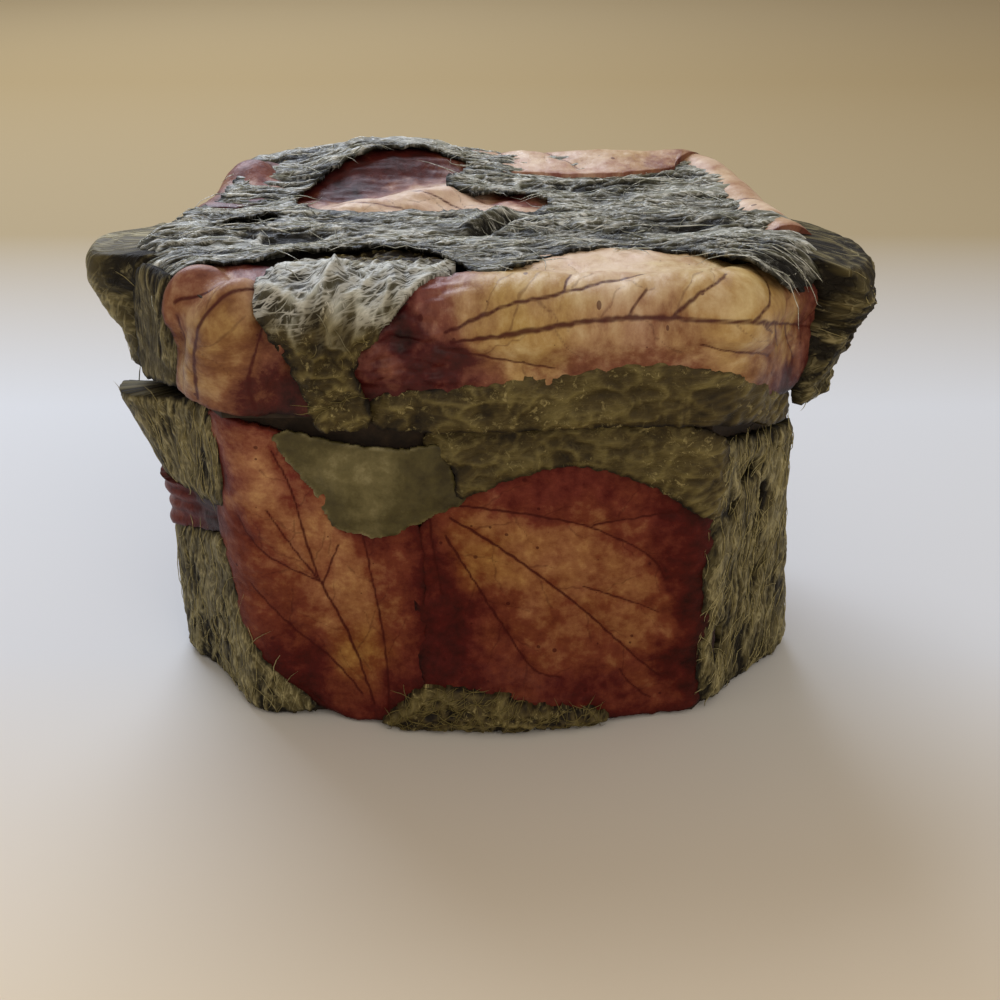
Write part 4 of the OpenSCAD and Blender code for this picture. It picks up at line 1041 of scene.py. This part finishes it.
dress(sheet("lid_left_lump", [
    (-56, 40), (-50, 39.6), (-42.5, 40.8), (-41.5, 47), (-42, 54), (-42, 57.5), (-46, 59.5), (-54, 59),
    (-57, 50)],
    # Painted shade darkens the hollow beside the flake.
    bark(80, 87, lift=1.6, relief=0.25, wide=0.2, plates=0.8, lump=0.3, crease=0.3, pits=0.2,
         swell=left_flake, painted_light_and_shade=lambda s, q: -0.5 * np.exp(-((s + 44) / 1.6) ** 2)),
    over_corner, SKIN_PITCH, tear=0.4, hairs=(20, 5, 80, 40), seed=88), "lid", straw_bark)
dress(sheet("lid_right_lump", [
    (41, 41), (42.5, 37.4), (46, 36.2), (51, 36.5), (56, 40), (57, 50), (55, 59), (48, 60), (43, 58),
    (42, 55), (43.5, 50), (42.6, 45)],
    bark(70, 91, lift=1.7, relief=0.35, wide=0.2, stray=20, cross=0.1, plates=0.6, lump=0.4, crease=0.5,
         shade=-0.25, swell=right_block),
    over_corner, SKIN_PITCH, tear=0.5, hairs=(30, 4, 70, 40), seed=91), "lid", straw_bark)


# Rear sides of the lid: pale leaves folded over the edge, with bark between them as on the front.
# The photograph hides these sides, so they follow the visible ones.
dress(sheet("lid_back_right_leaf", [
    (50, 36.4), (58, 37), (68, 38), (80.5, 38.8), (81, 50), (80, 58), (76, 62), (66, 63.5), (56, 63),
    (50, 60), (49.5, 48)],
    leaf([
        (0.5, [(54, 42), (64, 48), (76, 52)]), (0.4, [(54, 42.5), (60, 52), (64, 60)]),
        (0.4, [(55, 41.8), (66, 42), (78, 42)]), (0.34, [(54, 43), (54.5, 50), (56, 58)])
    ], [
        (58, 46, 5, 0.28, 0.9), (68, 50, 5, 0.2, 0.5), (76, 46, 4, 0.5, 0.1), (64, 40, 4, 0.62, 0.1),
        (60, 58, 5, 0.1, 0.25), (72, 59, 5, 0.14, 0.2)
    ], 0.4, 0.4, 95, lift=1.2, puff=0.4,
         swell=lambda s, q: 0.5 + 0.8 * np.exp(-((q - 52) / 5) ** 2) - 1.2 * ease(55, 59, q)),
    over_lid, PLAIN_LEAF_PITCH, tear=0.2, seed=95), "lid", pale_leaf)
dress(sheet("lid_back_leaf", [
    (78, 39), (92, 39.4), (103, 41), (111, 46), (113, 52), (112, 59), (106, 63), (94, 64), (84, 63),
    (78, 60)],
    leaf([
        (0.5, [(106, 44), (96, 49), (84, 52)]), (0.4, [(106, 44.5), (100, 54), (94, 61)]),
        (0.4, [(105, 43.6), (94, 43), (82, 43)]), (0.3, [(106, 45), (106, 52), (103, 59)])
    ], [
        (100, 48, 5, 0.26, 0.9), (90, 52, 5, 0.22, 0.6), (84, 44, 4, 0.55, 0.1), (98, 59, 7, 0.12, 0.1),
        (109, 50, 4, 0.7, 0.05)
    ], 0.4, 0.4, 97, lift=1.2, puff=0.4, swell=lambda s, q: 0.5 + 0.8 * np.exp(-((q - 52) / 6) ** 2)),
    over_lid, PLAIN_LEAF_PITCH, tear=0.2, seed=97), "lid", pale_leaf)
dress(sheet("lid_back_bark", [
    (104, 38.9), (120, 38.9), (137.5, 38.9), (138, 50), (137, 60), (124, 61), (111, 61), (110, 52),
    (108, 46), (103, 41.4), (90, 40.2), (90, 38.9)],
    bark(5, 99, lift=1.7, relief=0.3, stray=12, plates=0.5, crease=0.3, edge=0.75),
    over_lid, LYING_PITCH, tear=0.4, seed=99), "lid", olive_bark)
dress(sheet("lid_back_left_leaf", [
    (135, 43), (144, 42), (150, 44), (154, 50), (155, 57), (153, 62.5), (144, 64), (137, 62), (134.5, 52)],
    leaf([
        (0.45, [(138, 46), (145, 52), (151, 58)]), (0.36, [(138, 46), (139, 54), (142, 61)]),
        (0.36, [(138, 45.6), (146, 46), (152, 49)])
    ], [
        (142, 50, 4, 0.3, 0.7), (149, 52, 4, 0.45, 0.2), (144, 60, 4, 0.35, 0.05), (152, 60, 4, 0.7, 0.05),
        (142.5, 58, 3, 0.85, 0.05)
    ], 0.45, 0.3, 103, lift=1.2, puff=0.4,
         swell=lambda s, q: 1.8 * np.exp(-((s - 142.5) / 3) ** 2 - ((q - 57.5) / 3) ** 2)),
    over_lid, PLAIN_LEAF_PITCH, tear=0.2, seed=103), "lid", pale_leaf)
dress(sheet("lid_back_left_bark", [
    (134.8, 38.9), (150, 38.9), (166, 39.2), (167, 50), (166, 60), (156, 60), (153.6, 56), (152.4, 50),
    (149, 45.4), (143, 43.6), (135.5, 44.4)],
    bark(78, 105, lift=1.7, relief=0.3, stray=12, plates=0.5, crease=0.3, edge=0.75),
    over_lid, UPRIGHT_PITCH, tear=0.4, seed=105), "lid", olive_bark)


# Top of the lid: one ridged sheet of pale grey bark, torn round a window, with a pink leaf lying under it.
# Its grey is partly its own colour and partly painted sheen of the light behind, and its near-white threads
# are painted glints. Its fibres run across the box, and its torn lips stand up along the leaf, the window
# and the slit.
TOP_PITCH = np.array([0.52, 0.19])
WINDOW = [
    (-23.8, 5.1), (-21.8, 11.5), (-17.4, 17.5), (-8.2, 20.5), (-3, 19.4), (-0.8, 16), (-3.8, 13),
    (-4, 10.4), (-0.5, 9.6), (5.5, 10.2), (9, 8), (8.4, 4.2), (5.3, 1.5), (-0.9, 3.4), (-7.1, 2.5),
    (-14.4, 0.8), (-20.7, 2.5)]
TOP_HOLE = [(-33, -5.8), (-31, -1.4), (-27.4, 1.2), (-23.6, 1), (-25, -2.6), (-28.6, -5.4)]
flat_top = on_side(np.arange(0, girth, 1.0), np.zeros(int(girth) + 1), RIM_OUT - ROLL)[:, :2]


def on_top(x, y, lift):
    """Lays a sheet on the lid's top and rolls it down over the edge."""
    flat = np.stack([x, y], 1)
    depth, nearest = depth_in(flat, flat_top)
    past = np.maximum(-depth, 0)
    turn = np.minimum(past / ROLL, math.pi / 2)
    outward = (flat - nearest) / np.maximum(np.hypot(*(flat - nearest).T), 1e-6)[:, None]
    over = past > 0
    spread = (ROLL * np.sin(turn) + lift * np.sin(turn))[:, None] * outward
    spots = np.where(over[:, None], nearest + spread, flat)
    up = LID_TOP - ROLL * (1 - np.cos(turn)) - np.maximum(past - ROLL_LONG, 0) + lift * np.cos(turn)
    return droop(np.column_stack([spots, up]))


def crack(x, y, aside, wide):
    """Weight of a strip beside the slanting crack in the top, right of its middle."""
    across = 0.8 * (x + 1) - 0.6 * (y + 6.2) - aside
    along = 0.6 * (x + 1) + 0.8 * (y + 6.2)
    return np.exp(-(across / wide) ** 2) * ease(-1, 1.5, along) * ease(10.5, 8, along)


def top_form(x, y):
    """Slow rise and fall of the top, highest behind the window, with ridges along the box."""
    rise = 2.6 * np.exp(-((x + 12) / 12) ** 2) * ease(4, 21, y)
    lap = 1.1 * ease(22, 29, x) * ease(-6, -13, y)
    furrow = 0.5 * np.exp(-((y + 3 - 0.12 * x) / 2.2) ** 2) - 0.4 * np.exp(-((y + 7 - 0.1 * x) / 1.6) ** 2)
    return rise + furrow + lap + 0.9 * crack(x, y, -0.9, 1.1) - 1.2 * crack(x, y, 0.8, 0.8)


def window_petals(x, y):
    """The pink leaf rises in a slanting crest and a small petal, and climbs at the back to the bark."""
    crest = np.exp(-((y - 3 - 0.5 * (x + 20)) / 3) ** 2) * ease(-24, -15, x) * ease(2, -4, x)
    petal = 1.5 * crest + 0.8 * np.exp(-((x - 3.5) / 4) ** 2 - ((y - 5) / 3) ** 2)
    rear = 2.4 * ease(13, 21, y - 0.1 * x) * np.exp(-((x + 11) / 13) ** 2)
    return petal + rear + 0.25 * crumple(x / 12, y / 2.4, 108)


dress(sheet("lid_window_leaf", [
    (-26.5, 4), (-25, 13), (-19.5, 20.5), (-8, 23.6), (3, 22.6), (10.6, 13), (10.8, 3), (5, -1),
    (-8, -0.5), (-20, 0)],
    leaf([
        (0.4, [(4, 3), (-6, 5.4), (-15, 5.6), (-22, 5)]),
        (0.36, [(4, 3.4), (-4, 8.6), (-12, 9.6), (-18, 9)]), (0.3, [(5, 4), (1, 9), (-3, 13)]),
        (0.3, [(4, 2.6), (-5, 2.8), (-14, 2.6)])
    ], [
        # The dark patches at the back and ends of the window, round (-17, 13), (-9.5, 16.5), (-4, 19),
        # (-23, 9) and (4.5, 9), are painted shade of the hollow under the bark's lip.
        (-9, 6, 6.5, -0.02, 0.05), (3, 5, 4, 0.1, 0.2), (-18, 4, 4, 0.05, 0.2), (-17, 13, 4.5, 0.95, 0.4),
        (-4, 19, 5, 0.7, 0.4), (-4.5, 10, 3.6, -0.05, 0.05), (4.5, 9, 2, 0.9, 0.3),
        (-23, 9, 3.5, 0.7, 0.3), (-9.5, 16.5, 3.6, 0.95, 0.4)
    ], 0.45, 0.2, 107, lift=0.5, puff=0.3, swell=window_petals),
    on_top, PLAIN_LEAF_PITCH, tear=0.1, seed=107), "lid", pale_leaf)
# Painted light: the pale grey is partly painted sheen of the light behind, and the near-white threads are
# painted glints.
grey_bark_with_glints = dried_bark("silvered_bark", "#0a0904", "#4c4b3b", "#a7aa9b", "#eef0e8", 0.22, 1.0, 0.4)
dress(sheet("lid_top_bark", [
    (-33.4, -17.6), (-29.6, -17.4), (-24.5, -16.8), (-21, -12.6), (-15.4, -11.4), (-8, -10), (-3.5, -14),
    (0, -21), (2.8, -22), (7.9, -15.1), (14.4, -10.7), (21, -12.5), (25.8, -14), (28.6, -20),
    (33.4, -19.4), (37.4, -14), (40.4, -8.4), (42, -5), (39.5, -3.5), (38.5, 1), (36.8, 6), (35, 12),
    (34.5, 17), (34, 24), (29, 28.5), (26, 27), (23, 25), (15, 24), (6, 23.6), (0, 24), (-3, 27),
    (-12, 29.5), (-20, 30), (-27, 29.5), (-30.5, 25), (-30, 20), (-30.8, 14), (-32.8, 8), (-36, 1),
    (-38.5, -3), (-41.5, -6), (-40.5, -9), (-36.8, -13.5), (-34, -18)],
    bark(2, 109, lift=1.5, relief=0.42, cover=2.0, long=15, wide=0.18, stray=10, cross=0.05, lump=0.4,
         lip=0.35, thin=0.4, edge=0.95, crease=0.2, swell=top_form,
         # Painted shade: the top is darkened along its front part and in the slanting crack.
         painted_light_and_shade=lambda x, y: -0.2 * ease(-7, -13, y) * ease(-4, 4, x) - 0.7 * crack(x, y, 0.8, 0.8)),
    on_top, TOP_PITCH, tear=0.45, holes=[WINDOW, TOP_HOLE], hairs=(300, 9, 2, 22), seed=109), "lid",
    grey_bark_with_glints)


# Table and light: a pale paper floor, a large cool light behind and above, and a weak warm one in front.
# The camera stands where the photograph was taken, a hand's breadth above the lid.
CAMERA_SPOT = (2.8, -172.9, 108.6)
CAMERA_PITCH = 27.7
CAMERA_LENS = 52.2
CAMERA_NEAR = 10
FLOOR_REACH = 3000
PAPER_FROM = -80
PAPER_TO = 500
BOX_MIDDLE = (0, 0, 30)


def warm_paper():
    """Matt white paper, warm cream near the camera as painted warm light in the box's shadow, a cool grey
    beyond as painted cool light from behind, and beige further away.
    """
    material, tree = start_material("warm_paper")
    spot = add_node(tree, "ShaderNodeTexCoord").outputs["Object"]
    away = add_node(tree, "ShaderNodeSeparateXYZ", inputs={"Vector": spot}).outputs["Y"]
    far = remap(tree, away, PAPER_FROM * MM, PAPER_TO * MM, 0, 1)
    colour = ramp(tree, far, [
        (0.0, "#e0d2b8"), (0.12, "#d3d5d6"), (0.26, "#cfd2d4"), (0.44, "#a08f6c"), (0.75, "#97835b"),
        (1.0, "#998763")])
    coat(tree, colour, 0.9)
    return material


floor_bm = bmesh.new()
bmesh.ops.create_grid(floor_bm, x_segments=4, y_segments=4, size=FLOOR_REACH * MM)
floor_mesh = bpy.data.meshes.new("table_paper")
floor_bm.to_mesh(floor_mesh)
floor_bm.free()
table_paper = bpy.data.objects.new("table_paper", floor_mesh)
table_paper.data.materials.append(warm_paper())
bpy.context.scene.collection.objects.link(table_paper)


def soft_light(name, spot, size, power, code):
    """A square light panel at a spot in mm, facing the box."""
    lamp = bpy.data.lights.new(name, "AREA")
    lamp.shape = "SQUARE"
    lamp.size = size * MM
    lamp.energy = power
    lamp.color = linear(code)[:3]
    light = bpy.data.objects.new(name, lamp)
    light.location = Vector(spot) * MM
    aim = Vector(BOX_MIDDLE) - Vector(spot)
    light.rotation_euler = aim.to_track_quat("-Z", "Y").to_euler()
    bpy.context.scene.collection.objects.link(light)


soft_light("window_light", (-170, 400, 430), 420, 3.6, "#e2ecff")
soft_light("front_fill", (150, -430, 380), 400, 0.75, "#fff3e6")
world = bpy.data.worlds.new("studio")
world.use_nodes = True
world.node_tree.nodes["Background"].inputs["Color"].default_value = linear("#fff0de")
world.node_tree.nodes["Background"].inputs["Strength"].default_value = 0.45
bpy.context.scene.world = world
bpy.context.scene.view_settings.view_transform = "Standard"

lens = bpy.data.cameras.new("camera")
lens.lens = CAMERA_LENS
lens.clip_start = CAMERA_NEAR * MM
camera = bpy.data.objects.new("camera", lens)
camera.location = Vector(CAMERA_SPOT) * MM
camera.rotation_euler = (math.radians(90 - CAMERA_PITCH), 0, 0)
bpy.context.scene.collection.objects.link(camera)
bpy.context.scene.camera = camera
